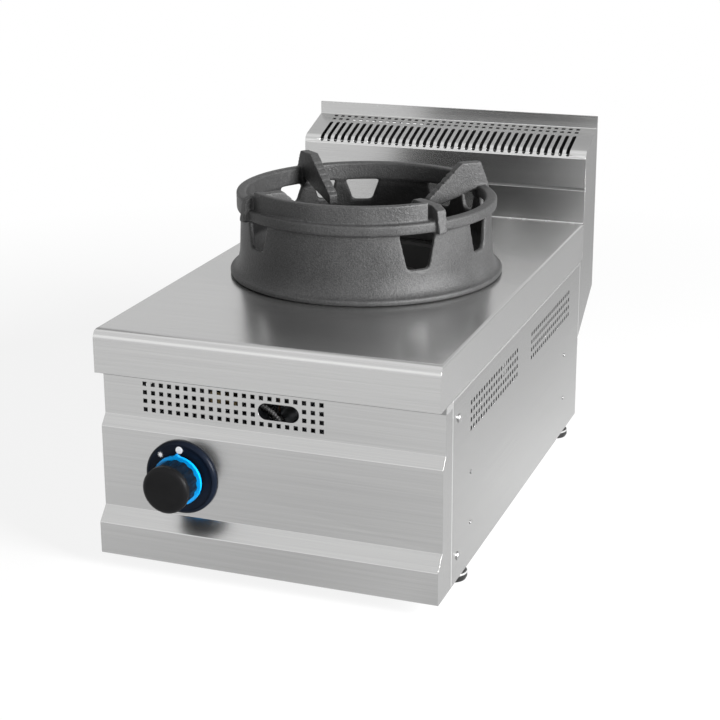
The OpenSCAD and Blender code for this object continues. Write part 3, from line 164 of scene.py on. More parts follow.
class ShaderTree(Nodes):
    """The shader nodes of a material or of the world."""

    def __init__(self, owner: Union[bpy.types.Material, bpy.types.World], output: str) -> None:
        """Starts with nothing but the output.

        Args:
            owner: The material or world.
            output: The type of its output node.
        """
        owner.use_nodes = True
        super().__init__(owner.node_tree)
        self.owner, self.output = owner, self.node(output)

    def value(self, kind: str, settings: dict | None = None, inputs: dict | None = None,
              output: int | str = 0) -> Value:
        """Adds a node and gives one of its outputs as a Value."""
        return Value(self, self.node(kind, settings, inputs).outputs[output])

    def rays(self, *kinds: str) -> Value:
        """Gives 1 on rays of the kinds that are named, such as Camera."""
        path = self.node("ShaderNodeLightPath").outputs
        return sum(Value(self, path[f"Is {kind} Ray"]) for kind in kinds).between(0, 1)

    def either(self, factor: Number, first: bpy.types.Node, second: bpy.types.Node) -> bpy.types.Node:
        """Mixes two shaders, the second where the factor is 1."""
        return self.node("ShaderNodeMixShader", None, {0: factor, 1: first.outputs[0], 2: second.outputs[0]})

    def close(self, last: bpy.types.Node) -> Union[bpy.types.Material, bpy.types.World]:
        """Links the last shader to the output, and gives the material or world."""
        self.tree.links.new(last.outputs[0], self.output.inputs["Surface"])
        return self.owner


class Shader(ShaderTree):
    """A material under construction."""

    def __init__(self, name: str) -> None:
        """Starts an empty material.

        Args:
            name: The material's name.
        """
        super().__init__(bpy.data.materials.new(name), "ShaderNodeOutputMaterial")

    def place(self, scale: Point = (1, 1, 1)) -> bpy.types.NodeSocket:
        """Gives the object's own coordinates in metres, times a scale."""
        coords = self.node("ShaderNodeTexCoord").outputs["Object"]
        return self.node("ShaderNodeVectorMath", {"operation": "MULTIPLY"}, {0: coords, 1: scale}).outputs[0]

    def axis(self, number: int) -> Value:
        """Gives one object coordinate in metres."""
        return self.value("ShaderNodeSeparateXYZ", None, {0: self.place()}, number)

    def facing(self, number: int) -> Value:
        """Gives one part of the surface's own direction."""
        normal = self.node("ShaderNodeNewGeometry").outputs["Normal"]
        return self.value("ShaderNodeSeparateXYZ", None, {0: normal}, number)

    def radius(self, centre: Pair = (0.0, 0.0)) -> Value:
        """Gives the distance from an upright axis, in metres."""
        x, y = self.axis(X) - centre[X], self.axis(Y) - centre[Y]
        return (x * x + y * y) ** 0.5

    def band(self, number: int, low: float, high: float) -> Value:
        """Gives 1 where one object coordinate lies between two values."""
        place = self.axis(number)
        return place.over(low) * (1 - place.over(high))

    def noise(self, waves: float | Point, detail: float = 2.0) -> Value:
        """Gives noise.

        Args:
            waves: Waves per metre, alike in all directions or for each axis.
            detail: How many finer layers it has.

        Returns:
            A number that mostly lies near 0.5.
        """
        scale = waves if isinstance(waves, tuple) else (waves, waves, waves)
        return self.value("ShaderNodeTexNoise", {"noise_dimensions": "3D"},
                          {"Vector": self.place(scale), "Scale": 1.0, "Detail": detail, "Roughness": 0.5}, "Fac")

    def mix(self, factor: Number, low: Paint, high: Paint) -> bpy.types.NodeSocket:
        """Mixes two colours, each of them plain or worked out.

        Args:
            factor: 0 for the first colour, 1 for the second.
            low: The first colour.
            high: The second colour.

        Returns:
            The colour's socket.
        """
        first, second = ((*paint, 1) if isinstance(paint, tuple) else paint for paint in (low, high))
        return self.node("ShaderNodeMix", {"data_type": "RGBA"},
                         {"Factor": factor, 6: first, 7: second}).outputs[2]

    def bump(self, height: Number, depth: float, edge: float = 0.0) -> bpy.types.NodeSocket:
        """Gives a normal from a height.

        Args:
            height: 0 to 1 over the surface.
            depth: How far 1 stands above 0, in metres.
            edge: The radius that sharp edges seem to have, in metres.

        Returns:
            The normal's socket.
        """
        made = self.node("ShaderNodeBump", None, {"Height": height, "Distance": depth, "Strength": 1.0})
        if edge:
            rounded = self.node("ShaderNodeBevel", {"samples": 4}, {"Radius": edge})
            self.tree.links.new(rounded.outputs[0], made.inputs["Normal"])
        return made.outputs[0]

    def wear(self, low: float, high: float) -> Value:
        """Gives 1 on outer edges that rub bare, from two values of Pointiness, which is 0.5 on a flat face."""
        return self.value("ShaderNodeNewGeometry", None, None, "Pointiness").between(low, high)

    def finish(self, **sockets: object) -> bpy.types.Material:
        """Closes the tree with a principled surface.

        Args:
            **sockets: What its sockets get, under names such as base_color.

        Returns:
            The material.
        """
        named = {key.replace("_", " ").title().replace("Ior", "IOR"): given for key, given in sockets.items()}
        return self.close(self.node("ShaderNodeBsdfPrincipled", None, named))


class GeometryTree(Nodes):
    """A Geometry Nodes tree that is run once on an object and leaves a plain mesh."""

    def __init__(self, name: str, sizes: dict[str, tuple[str, float]]) -> None:
        """Makes the tree and its named inputs.

        Args:
            name: The tree's name.
            sizes: For each input, its socket's type and its value.
        """
        super().__init__(bpy.data.node_groups.new(name, "GeometryNodeTree"))
        self.sizes = sizes
        self.tree.interface.new_socket("Geometry", in_out="INPUT", socket_type="NodeSocketGeometry")
        for key, (kind, _) in sizes.items():
            self.tree.interface.new_socket(key, in_out="INPUT", socket_type=kind)
        self.tree.interface.new_socket("Geometry", in_out="OUTPUT", socket_type="NodeSocketGeometry")
        self.given = self.node("NodeGroupInput").outputs

    def part(self, kind: str, **inputs: object) -> bpy.types.NodeSocket:
        """Adds a node and gives its first output, with inputs under names such as Fill_Caps."""
        return self.node(kind, None, {key.replace("_", " "): given for key, given in inputs.items()}).outputs[0]

    def sweep(self, line: bpy.types.NodeSocket, radius: bpy.types.NodeSocket, steps: int,
              caps: bool) -> bpy.types.NodeSocket:
        """Runs a circle along a line.

        Args:
            line: The curve to follow.
            radius: The circle's radius.
            steps: Corners round the circle.
            caps: Whether the ends are closed.

        Returns:
            The mesh's socket.
        """
        circle = self.part("GeometryNodeCurvePrimitiveCircle", Resolution=steps, Radius=radius)
        return self.part("GeometryNodeCurveToMesh", Curve=line, Profile_Curve=circle, Fill_Caps=caps)

    def solid(self, holder: bpy.types.Object, result: bpy.types.NodeSocket, finish: bpy.types.Material,
              name: str) -> bpy.types.Mesh:
        """Runs the tree on an object and removes that object.

        Args:
            holder: The object with the points or curve.
            result: The geometry to keep.
            finish: The material to set.
            name: The new mesh's name.

        Returns:
            The mesh.
        """
        real = self.part("GeometryNodeRealizeInstances", Geometry=result)
        dressed = self.part("GeometryNodeSetMaterial", Geometry=real, Material=finish)
        self.node("NodeGroupOutput", None, {0: dressed})
        modifier = holder.modifiers.new("tree", "NODES")
        modifier.node_group = self.tree
        for item in self.tree.interface.items_tree:
            if item.in_out == "INPUT" and item.name in self.sizes:
                modifier[item.identifier] = self.sizes[item.name][1]
        done = holder.evaluated_get(bpy.context.evaluated_depsgraph_get())
        mesh = bpy.data.meshes.new_from_object(done)
        bpy.data.objects.remove(holder)
        mesh.name = name
        return mesh


# Finishes


@dataclass(frozen=True)
class BrushedSteel:
    """Stainless sheet with a fine straight grain, each noise in waves per metre across and along it."""

    name: str
    grain: Grain
    light: Colour = (0.56, 0.56, 0.555)
    dark: Colour = (0.475, 0.475, 0.475)
    # The colour of the painted highlight.
    bright: Colour = (0.92, 0.92, 0.92)
    roughness: float = 0.24
    depth: float = 0.008 * MM
    edge: float = 0.4 * MM
    metallic: float = 1.0
    hairs: Pair = (900.0, 5.0)
    streaks: Pair = (260.0, 2.0)
    stains: Pair = (6.0, 2.0)
    shares: tuple[float, float, float] = (0.5, 0.3, 0.2)
    contrast: Pair = (0.25, 0.75)
    streak_rough: float = 0.06
    stain_rough: float = 0.08
    # A mask for painted shade, also used for the spill bowl's darkening all over.
    painted_shade_and_darkening: Mask | None = None
    painted_shade_and_darkening_share: float = 1.0
    painted_shade_and_darkening_rough: float = 0.5
    # A mask for a painted highlight along bright edges.
    painted_highlight: Mask | None = None

    def pattern(self, shader: Shader, waves: Pair) -> Value:
        """Gives noise that is stretched along the grain."""
        return shader.noise(tuple(waves[1] if grain is self.grain else waves[0] for grain in Grain))

    def make(self) -> bpy.types.Material:
        """Builds the material.

        Returns:
            The material.
        """
        shader = Shader(self.name)
        hair, streak, stain = (self.pattern(shader, waves) for waves in (self.hairs, self.streaks, self.stains))
        tone = hair * self.shares[0] + streak * self.shares[1] + stain * self.shares[2]
        colour = shader.mix(tone.between(*self.contrast), self.dark, self.light)
        metallic = self.metallic
        roughness = self.roughness + self.streak_rough * (streak - 0.5) + self.stain_rough * (stain - 0.5)
        # Painted highlight: the mask lightens the colour along the edge.
        if self.painted_highlight:
            colour = shader.mix(self.painted_highlight(shader), colour, self.bright)
        # Painted shade, and the spill bowl's darkening: the mask darkens the colour to near-black and takes away the
        # metal's shine.
        if self.painted_shade_and_darkening:
            black = self.painted_shade_and_darkening(shader) * self.painted_shade_and_darkening_share
            colour = shader.mix(black, colour, SHADE_AND_DARKENING)
            metallic, roughness = metallic - metallic * black, roughness + black * self.painted_shade_and_darkening_rough
        return shader.finish(
            base_color=colour,
            metallic=metallic,
            roughness=roughness,
            normal=shader.bump(hair, self.depth, self.edge))


@dataclass(frozen=True)
class CastIron:
    """A sand casting under a thin dark coat, speckled and rubbed bare along its edges.

    Each noise is in waves per metre, with its detail.
    """

    name: str
    coat: Colour = (0.021, 0.021, 0.0215)
    bare: Colour = (0.108, 0.108, 0.108)
    roughness: float = 0.5
    gloss: float = 0.3
    metallic: float = 0.08
    depth: float = 0.9 * MM
    sand: Pair = (620.0, 3.0)
    pits: Pair = (240.0, 3.0)
    patches: Pair = (22.0, 4.0)
    patch_fade: Pair = (0.25, 0.6)
    edges: Pair = (0.52, 0.6)
    level: float = 0.3
    rubbed: float = 0.5
    speckle: float = 0.9
    mottle: float = 0.5
    patch_rough: float = 0.25
    worn_rough: float = -0.12
    painted_shade: Mask | None = None
    painted_shade_share: float = 0.85

    def make(self) -> bpy.types.Material:
        """Builds the material.

        Returns:
            The material.
        """
        shader = Shader(self.name)
        sand, pits, patch = (shader.noise(*noise) for noise in (self.sand, self.pits, self.patches))
        worn = shader.wear(*self.edges) * patch.between(*self.patch_fade)
        shade = self.level + worn * self.rubbed + (sand - 0.5) * self.speckle + (patch - 0.5) * self.mottle
        colour = shader.mix(shade.between(0, 1), self.coat, self.bare)
        # Painted shade on the ring's inner wall below its rim.
        if self.painted_shade:
            colour = shader.mix(self.painted_shade(shader) * self.painted_shade_share, colour, SHADE_AND_DARKENING)
        return shader.finish(
            base_color=colour,
            metallic=self.metallic,
            specular_ior_level=self.gloss,
            roughness=self.roughness + self.patch_rough * (patch - 0.5) + self.worn_rough * worn,
            normal=shader.bump(sand * 0.5 + pits * 0.5, self.depth))


@dataclass(frozen=True)
class Plastic:
    """Moulded plastic or rubber with a faint skin, and a pale band between two heights where one is given.

    Each noise is in waves per metre, with its detail.
    """

    name: str
    colour: Colour
    tint: Colour
    roughness: float
    gloss: float = 0.5
    depth: float = 0.02 * MM
    edge: float = 0.3 * MM
    skin: Pair = (1500.0, 2.0)
    haze: Pair = (60.0, 3.0)
    contrast: Pair = (0.3, 0.7)
    haze_rough: float = 0.04
    band: Pair | None = None
    band_colour: Colour = (0.3, 0.3, 0.3)

    def make(self) -> bpy.types.Material:
        """Builds the material.

        Returns:
            The material.
        """
        shader = Shader(self.name)
        haze = shader.noise(*self.haze)
        colour = shader.mix(haze.between(*self.contrast), self.colour, self.tint)
        if self.band:
            colour = shader.mix(shader.band(Z, *self.band), colour, self.band_colour)
        return shader.finish(
            base_color=colour,
            specular_ior_level=self.gloss,
            roughness=self.roughness + self.haze_rough * (haze - 0.5),
            normal=shader.bump(shader.noise(*self.skin), self.depth, self.edge))


@dataclass(frozen=True)
class TurnedMetal:
    """Brass, copper or zinc-plated steel with a soft mottle, each noise in waves per metre, with its detail."""

    name: str
    light: Colour
    dark: Colour
    roughness: float
    depth: float = 0.01 * MM
    edge: float = 0.3 * MM
    mottle: Pair = (90.0, 4.0)
    scratches: Pair = (1400.0, 3.0)
    contrast: Pair = (0.3, 0.7)
    mottle_rough: float = 0.2

    def make(self) -> bpy.types.Material:
        """Builds the material.

        Returns:
            The material.
        """
        shader = Shader(self.name)
        mottle = shader.noise(*self.mottle)
        return shader.finish(
            base_color=shader.mix(mottle.between(*self.contrast), self.dark, self.light),
            metallic=1.0,
            roughness=self.roughness + self.mottle_rough * (mottle - 0.5),
            normal=shader.bump(shader.noise(*self.scratches), self.depth, self.edge))


@dataclass(frozen=True)
class Masks:
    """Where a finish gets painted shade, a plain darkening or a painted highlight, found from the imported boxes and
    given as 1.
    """

    skin: float = 0.4 * MM
    fade: float = 0.4 * MM
    duct_foot: float = 132 * MM
    duct_down: float = -0.2
    cover_down: float = -0.15
    cover_back: float = 0.4
    cover_wall: float = 1.5 * MM
    slot_end: float = 0.5
    slot_front: float = 8 * MM
    slot_back: float = 4 * MM
    seam_lap: float = 14 * MM
    seam_line: float = 3.1 * MM
    apron_line: float = 8.2 * MM
    side_line: float = 2.6 * MM
    side_bright: float = 2.2 * MM
    duct_bright: float = 2.4 * MM
    inner_shade_r: Pair = (146.2 * MM, 146.8 * MM)
    inner_shade_top: Pair = (70 * MM, 82 * MM)

    def everywhere(self, shader: Shader) -> Number:
        """Marks the whole piece."""
        return 1.0

    def duct_inside(self, shader: Shader) -> Value:
        """Marks the inside of the flue above its foot, apart from the faces that look down, for painted shade.

        Args:
            shader: The material under construction.

        Returns:
            The mask.
        """
        low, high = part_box("flue_duct")
        return (shader.band(X, low[X] + self.skin, high[X] - self.skin)
                * shader.band(Y, low[Y] - self.skin, high[Y] - self.skin)
                * shader.band(Z, self.duct_foot, high[Z] + self.skin)
                * shader.facing(Z).over(self.duct_down))

    def cover_inside(self, shader: Shader) -> Value:
        """Marks the flue cover's inner faces and the far ends of its slots and dashes, for painted shade.

        Args:
            shader: The material under construction.

        Returns:
            The mask.
        """
        front, back = (corner[Y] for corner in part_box("flue_cover"))
        under = 1 - shader.facing(Z).over(self.cover_down)
        behind = shader.facing(Y).over(self.cover_back) * (1 - shader.axis(Y).over(back - self.cover_wall))
        ends = (0 - shader.facing(Y)).over(self.slot_end) * shader.band(
            Y, front + self.slot_front, back - self.slot_back)
        return (under + behind + ends).between(0, 1)

    def seam(self, shader: Shader) -> Value:
        """Marks the narrow band where the flue's front sheet steps in under its cover, for a painted shade line."""
        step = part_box("flue_front_sheet")[1][Z] - self.seam_lap
        return shader.band(Z, step - self.seam_line, step + MM)

    def below_hob(self, shader: Shader, line: float) -> Value:
        """Marks a line below the hob's lower edge, where a painted shadow goes."""
        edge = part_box("hob_top")[0][Z]
        return shader.band(Z, edge - line, edge + MM)

    def apron_shade(self, shader: Shader) -> Value:
        """Marks the painted shadow line that the apron's edge leaves on the front."""
        return self.below_hob(shader, self.apron_line)

    def side_shade(self, shader: Shader) -> Value:
        """Marks the painted shadow line that the hob's side edge leaves on the side panels."""
        return self.below_hob(shader, self.side_line)

    def front_edge(self, shader: Shader, node: str, width: float) -> Value:
        """Marks the front edge of a node's box, fading out behind it."""
        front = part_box(node)[0][Y] + width
        return 1 - shader.axis(Y).between(front, front + self.fade)

    def side_edge(self, shader: Shader) -> Value:
        """Marks the painted highlight along the edge where a side panel meets the folded front."""
        return self.front_edge(shader, "side_panel_left", self.side_bright)

    def duct_edge(self, shader: Shader) -> Value:
        """Marks the painted highlight along the front edge of the flue's side sheets."""
        return self.front_edge(shader, "flue_duct", self.duct_bright)

    def ring_inside(self, shader: Shader) -> Value:
        """Marks the ring's inner wall below its rim, for painted shade.

        Args:
            shader: The material under construction.

        Returns:
            The mask.
        """
        low, high = (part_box("wok_ring")[0][Z] + height for height in self.inner_shade_top)
        wall = 1 - shader.radius(RING_AXIS).between(*self.inner_shade_r)
        return wall * (1 - shader.axis(Z).between(low, high))


class Finishes:
    """Every finish on the range, made once."""

    def __init__(self) -> None:
        """Makes the materials."""
        masks = Masks()
        # The side panels get a painted shadow line under the hob's edge and a painted highlight along their front
        # edge.
        self.side = BrushedSteel("steel_side", Grain.FRONT_TO_BACK, painted_shade_and_darkening=masks.side_shade, painted_shade_and_darkening_share=0.5,
                                 painted_highlight=masks.side_edge).make()
        self.hob = BrushedSteel("steel_hob", Grain.ACROSS, metallic=0.95).make()
        # The front gets a painted shadow line under the apron's edge.
        self.front = BrushedSteel("steel_front", Grain.ACROSS, painted_shade_and_darkening=masks.apron_shade, painted_shade_and_darkening_share=0.6).make()
        # The flue's side sheets get painted shade inside and a painted highlight along their front edge.
        self.flue_duct = BrushedSteel("steel_flue_duct", Grain.UPRIGHT, painted_shade_and_darkening=masks.duct_inside,
                                      painted_highlight=masks.duct_edge).make()
        # The flue cover gets painted shade on its inner faces and in its slots.
        self.flue_cover = BrushedSteel("steel_flue_cover", Grain.ACROSS, edge=0.25 * MM, metallic=0.97,
                                       painted_shade_and_darkening=masks.cover_inside).make()
        # The flue's front sheet gets a painted shade line under its cover's edge.
        self.flue_front = BrushedSteel("steel_flue_front", Grain.ACROSS, painted_shade_and_darkening=masks.seam, painted_shade_and_darkening_share=0.88).make()
        # The spill bowl is darkened all over.
        self.bowl = BrushedSteel("steel_burnt_bowl", Grain.ACROSS, roughness=0.34, painted_shade_and_darkening=masks.everywhere,
                                 painted_shade_and_darkening_share=0.94).make()
        self.zinc = TurnedMetal("zinc_sheet", (0.5, 0.51, 0.53), (0.36, 0.37, 0.39), 0.42).make()
        self.screw = TurnedMetal("screw_steel", (0.62, 0.62, 0.62), (0.5, 0.5, 0.5), 0.25).make()
        self.brass = TurnedMetal("brass", (0.36, 0.28, 0.15), (0.22, 0.17, 0.09), 0.4).make()
        self.copper = TurnedMetal("copper", (0.38, 0.2, 0.12), (0.22, 0.12, 0.07), 0.4).make()
        self.hose = TurnedMetal("hose_steel", (0.3, 0.3, 0.3), (0.2, 0.2, 0.2), 0.35).make()
        self.alloy = TurnedMetal("tap_alloy", (0.55, 0.55, 0.55), (0.4, 0.4, 0.41), 0.45).make()
        # The ring gets painted shade on its inner wall.
        self.ring_iron = CastIron("ring_iron", painted_shade=masks.ring_inside).make()
        self.burner_iron = CastIron("burner_iron", (0.02, 0.02, 0.02), (0.06, 0.058, 0.055), 0.65).make()
        self.black = Plastic("knob_black", (0.004, 0.004, 0.0045), (0.006, 0.006, 0.0065), 0.36, gloss=0.14,
                             depth=0.008 * MM, edge=1.4 * MM).make()
        self.bezel = Plastic("bezel_black", (0.004, 0.007, 0.014), (0.006, 0.009, 0.017), 0.34, gloss=0.08).make()
        self.blue = Plastic("ring_blue", (0.0, 0.33, 0.84), (0.0, 0.36, 0.9), 0.35, gloss=0.35).make()
        self.white = Plastic("mark_white", (0.85, 0.86, 0.87), (0.9, 0.9, 0.9), 0.45).make()
        self.rubber = Plastic("foot_rubber", (0.012, 0.012, 0.012), (0.02, 0.02, 0.02), 0.38, gloss=0.3,
                              depth=0.05 * MM, band=(7.5 * MM, 9.5 * MM)).make()


# Mesh tools


def link(name: str, data: bpy.types.ID) -> bpy.types.Object:
    """Makes an object and puts it in the scene.

    Args:
        name: The object's name.
        data: Its mesh, curve, camera or light.

    Returns:
        The object.
    """
    made = bpy.data.objects.new(name, data)
    bpy.context.scene.collection.objects.link(made)
    return made


def new_piece(name: str, mesh: bpy.types.Mesh, material: bpy.types.Material, body: str,
              nodes: Sequence[str] = ()) -> None:
    """Links a finished mesh, and says what it rides on and stands for.

    Args:
        name: The piece's name.
        mesh: Its mesh, already in place.
        material: Its finish.
        body: The body that it rides on.
        nodes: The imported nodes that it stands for.
    """
    piece = link(name, mesh)
    mesh.materials.clear()
    mesh.materials.append(material)
    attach(piece, body)
    if nodes:
        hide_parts(*nodes)
    LOG.info("%s: %d faces", name, len(mesh.polygons))


def to_mesh(grid: bmesh.types.BMesh, name: str) -> bpy.types.Mesh:
    """Turns a working grid into a new mesh, and frees the grid.

    Args:
        grid: The working grid.
        name: The mesh's name.

    Returns:
        The mesh.
    """
    mesh = bpy.data.meshes.new(name)
    grid.to_mesh(mesh)
    grid.free()
    return mesh


def shade(mesh: bpy.types.Mesh, angle: float) -> bpy.types.Mesh:
    """Smooths a mesh, apart from its sharp edges.

    Args:
        mesh: The mesh.
        angle: The sharpest edge that is smoothed, in degrees.

    Returns:
        The same mesh.
    """
    mesh.shade_smooth()
    mesh.set_sharp_from_angle(angle=math.radians(angle))
    return mesh


def node_mesh(node: str, name: str, angle: float = SMOOTH_ANGLE) -> bpy.types.Mesh:
    """Copies a node's mesh, joins its loose triangles and smooths its curves.

    Args:
        node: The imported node.
        name: The new mesh's name.
        angle: The sharpest edge that is smoothed, in degrees.

    Returns:
        The mesh.
    """
    grid = bmesh.new()
    grid.from_mesh(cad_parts[node].data)
    bmesh.ops.remove_doubles(grid, verts=grid.verts, dist=WELD)
    bmesh.ops.dissolve_limit(grid, angle_limit=math.radians(FLAT_ANGLE), verts=grid.verts, edges=grid.edges)
    return shade(to_mesh(grid, name), angle)


def dress(node: str, name: str, material: bpy.types.Material, body: str,
          angle: float = SMOOTH_ANGLE) -> None:
    """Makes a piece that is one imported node, smoothed.

    Args:
        node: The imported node.
        name: The piece's name.
        material: Its finish.
        body: The body that it rides on.
        angle: The sharpest edge that is smoothed, in degrees.
    """
    new_piece(name, node_mesh(node, name, angle), material, body, [node])


def modified(mesh: bpy.types.Mesh, *modifiers: tuple[str, dict]) -> bpy.types.Mesh:
    """Runs modifiers on a mesh.

    Args:
        mesh: The mesh to start from.
        *modifiers: Each modifier's type and settings, in order.

    Returns:
        A plain mesh.
    """
    work = link("work", mesh)
    for kind, settings in modifiers:
        made = work.modifiers.new(kind.lower(), kind)
        for key, setting in settings.items():
            setattr(made, key, setting)
    done = bpy.data.meshes.new_from_object(work.evaluated_get(bpy.context.evaluated_depsgraph_get()))
    bpy.data.objects.remove(work)
    return done


def lathe(name: str, profile: Sequence[Pair], place: Matrix, sides: int, angle: float) -> bpy.types.Mesh:
    """Turns a closed profile about its own Z axis.

    Args:
        name: The mesh's name.
        profile: Radius and height of each point, in metres.
        place: Where the turned shape goes.
        sides: Steps round the axis.
        angle: The sharpest edge that is smoothed, in degrees.

    Returns:
        The mesh.
    """
    grid = bmesh.new()
    turns = [2 * math.pi * k / sides for k in range(sides)]
    rings = [[grid.verts.new(place @ Vector((radius * math.cos(turn), radius * math.sin(turn), height)))
              for turn in turns] for radius, height in profile]
    for low, high in zip(rings, rings[1:] + rings[:1]):
        for k in range(sides):
            n = (k + 1) % sides
            grid.faces.new([low[k], low[n], high[n], high[k]])
    bmesh.ops.recalc_face_normals(grid, faces=grid.faces)
    return shade(to_mesh(grid, name), angle)


def joined(name: str, *meshes: bpy.types.Mesh) -> bpy.types.Mesh:
    """Puts several meshes into one.

    Args:
        name: The new mesh's name.
        *meshes: What it takes in.

    Returns:
        The new mesh.
    """
    grid = bmesh.new()
    for mesh in meshes:
        grid.from_mesh(mesh)
    return to_mesh(grid, name)


def flat_shape(name: str, outline: Sequence[Pair], thick: float, place: Matrix) -> bpy.types.Mesh:
    """Raises a flat outline into a plate or a bar.

    Args:
        name: The mesh's name.
        outline: Its corners in order, in metres.
        thick: How far it is raised, in metres.
        place: Where the shape goes.

    Returns:
        The mesh.
    """
    grid = bmesh.new()
    base, top = ([grid.verts.new(place @ Vector((x, y, z))) for x, y in outline] for z in (0, thick))
    grid.faces.new(base[::-1])
    grid.faces.new(top)
    for k in range(len(outline)):
        n = (k + 1) % len(outline)
        grid.faces.new([base[k], base[n], top[n], top[k]])
    bmesh.ops.recalc_face_normals(grid, faces=grid.faces)
    return to_mesh(grid, name)


# Sub-assemblies


@dataclass
class Cabinet:
    """The folded sheets round the burner: hob, front, sides, back and flue."""

    finishes: Finishes
    body: str = "cabinet"
    zinc_nodes: tuple[str, ...] = ("back_panel", "base_pan", "corner_posts", "burner_bridge", "pipe_cradles",
                                   "valve_saddle_clamp", "foot_nuts", "gas_pipe")
    bead_r: float = 1.5 * MM
    bead_sink: float = 0.1 * MM
    bead_end: float = 1.0 * MM
    bead_steps: int = 8
    bead_angle: float = 50.0

    def build(self) -> None:
        """Dresses the sheets, with their bends smoothed."""
        f = self.finishes
        for node, finish in (("hob_top", f.hob), ("front_fascia", f.front), ("side_panel_left", f.side),
                             ("side_panel_right", f.side), ("flue_cover", f.flue_cover),
                             ("flue_front_sheet", f.flue_front), ("flue_duct", f.flue_duct), ("spill_bowl", f.bowl)):
            dress(node, node + "_sheet", finish, self.body)
        for node in self.zinc_nodes:
            dress(node, node + "_zinc", f.zinc, self.body)
        self.bead()

    def bead(self) -> None:
        """Lays the polished bead that closes the joint between the hob and the flue."""
        low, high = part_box("flue_front_sheet")
        turns = [math.pi / 2 * k / self.bead_steps for k in range(self.bead_steps + 1)]
        section = [(-self.bead_r * math.sin(a), self.bead_r * math.cos(a)) for a in turns] + [(self.bead_sink, 0.0)]
        corner = (low[X] + self.bead_end, low[Y] + self.bead_sink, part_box("hob_top")[1][Z] - self.bead_sink)
        along_x = Matrix(((0, 0, 1), (1, 0, 0), (0, 1, 0))).to_4x4()
        mesh = flat_shape("flue_bead", section, high[X] - low[X] - 2 * self.bead_end,
                          Matrix.Translation(corner) @ along_x)
        new_piece("flue_bead", shade(mesh, self.bead_angle), self.finishes.screw, self.body)


@dataclass
class WokRing:
    """The cast ring, with the soft edges that a sand mould leaves."""

    finishes: Finishes
    voxel: float = 1.15 * MM
    pull: float = 0.5
    softening: int = 2
    keep: float = 0.3
    wall_softening: int = 10
    wall_r: float = 125 * MM
    wall_foot: float = 12 * MM
    wall_top: float = 88 * MM

    def soften_wall(self, mesh: bpy.types.Mesh) -> None:
        """Rounds the wall's windows more than the fingers.

        Args:
            mesh: The remeshed casting.
        """
        grid = bmesh.new()
        grid.from_mesh(mesh)
        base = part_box("wok_ring")[0][Z]
        wall = [v for v in grid.verts if base + self.wall_foot < v.co.z < base + self.wall_top
                and math.hypot(v.co.x - RING_AXIS[X], v.co.y - RING_AXIS[Y]) > self.wall_r]
        for _ in range(self.wall_softening):
            bmesh.ops.smooth_vert(grid, verts=wall, factor=self.pull, use_axis_x=True, use_axis_y=True,
                                  use_axis_z=True)
        grid.to_mesh(mesh)
        grid.free()

    def build(self) -> None:
        """Remeshes the ring and rounds its edges."""
        solid = modified(
            node_mesh("wok_ring", "wok_ring_casting"),
            ("REMESH", {"mode": "VOXEL", "voxel_size": self.voxel, "use_smooth_shade": True}),
            ("SMOOTH", {"factor": self.pull, "iterations": self.softening}))
        self.soften_wall(solid)
        solid = modified(solid, ("DECIMATE", {"ratio": self.keep}))
        solid.name = "wok_ring_casting"
        solid.shade_smooth()
        new_piece("wok_ring_casting", solid, self.finishes.ring_iron, "wok_ring_body", ["wok_ring"])


@dataclass
class Burner:
    """The burner's castings and the gas parts that feed it."""

    finishes: Finishes
    brass_nodes: tuple[str, ...] = ("air_shutter", "injector", "injector_elbow", "hose_nuts", "pipe_plug",
                                    "inlet_locknut", "pilot_burner")
    copper_nodes: tuple[str, ...] = ("pilot_tube", "thermocouple", "thermocouple_lead")
    tube_angle: float = 60.0

    def build(self) -> None:
        """Dresses the burner, the pilot and the pipework."""
        f = self.finishes
        for node, body in (("burner_body", "cabinet"), ("burner_crown", "cabinet"), ("burner_cap", "burner_cap_body")):
            dress(node, node + "_casting", f.burner_iron, body)
        for node in self.brass_nodes:
            dress(node, node + "_brass", f.brass, "cabinet")
        dress("valve_body", "valve_body_casting", f.alloy, "cabinet")
        for node in self.copper_nodes:
            dress(node, node + "_copper", f.copper, "cabinet", self.tube_angle)
        dress("valve_plug", "valve_plug_brass", f.brass, "tap_plug")
        dress("valve_spindle", "valve_spindle_brass", f.brass, "knob_body")


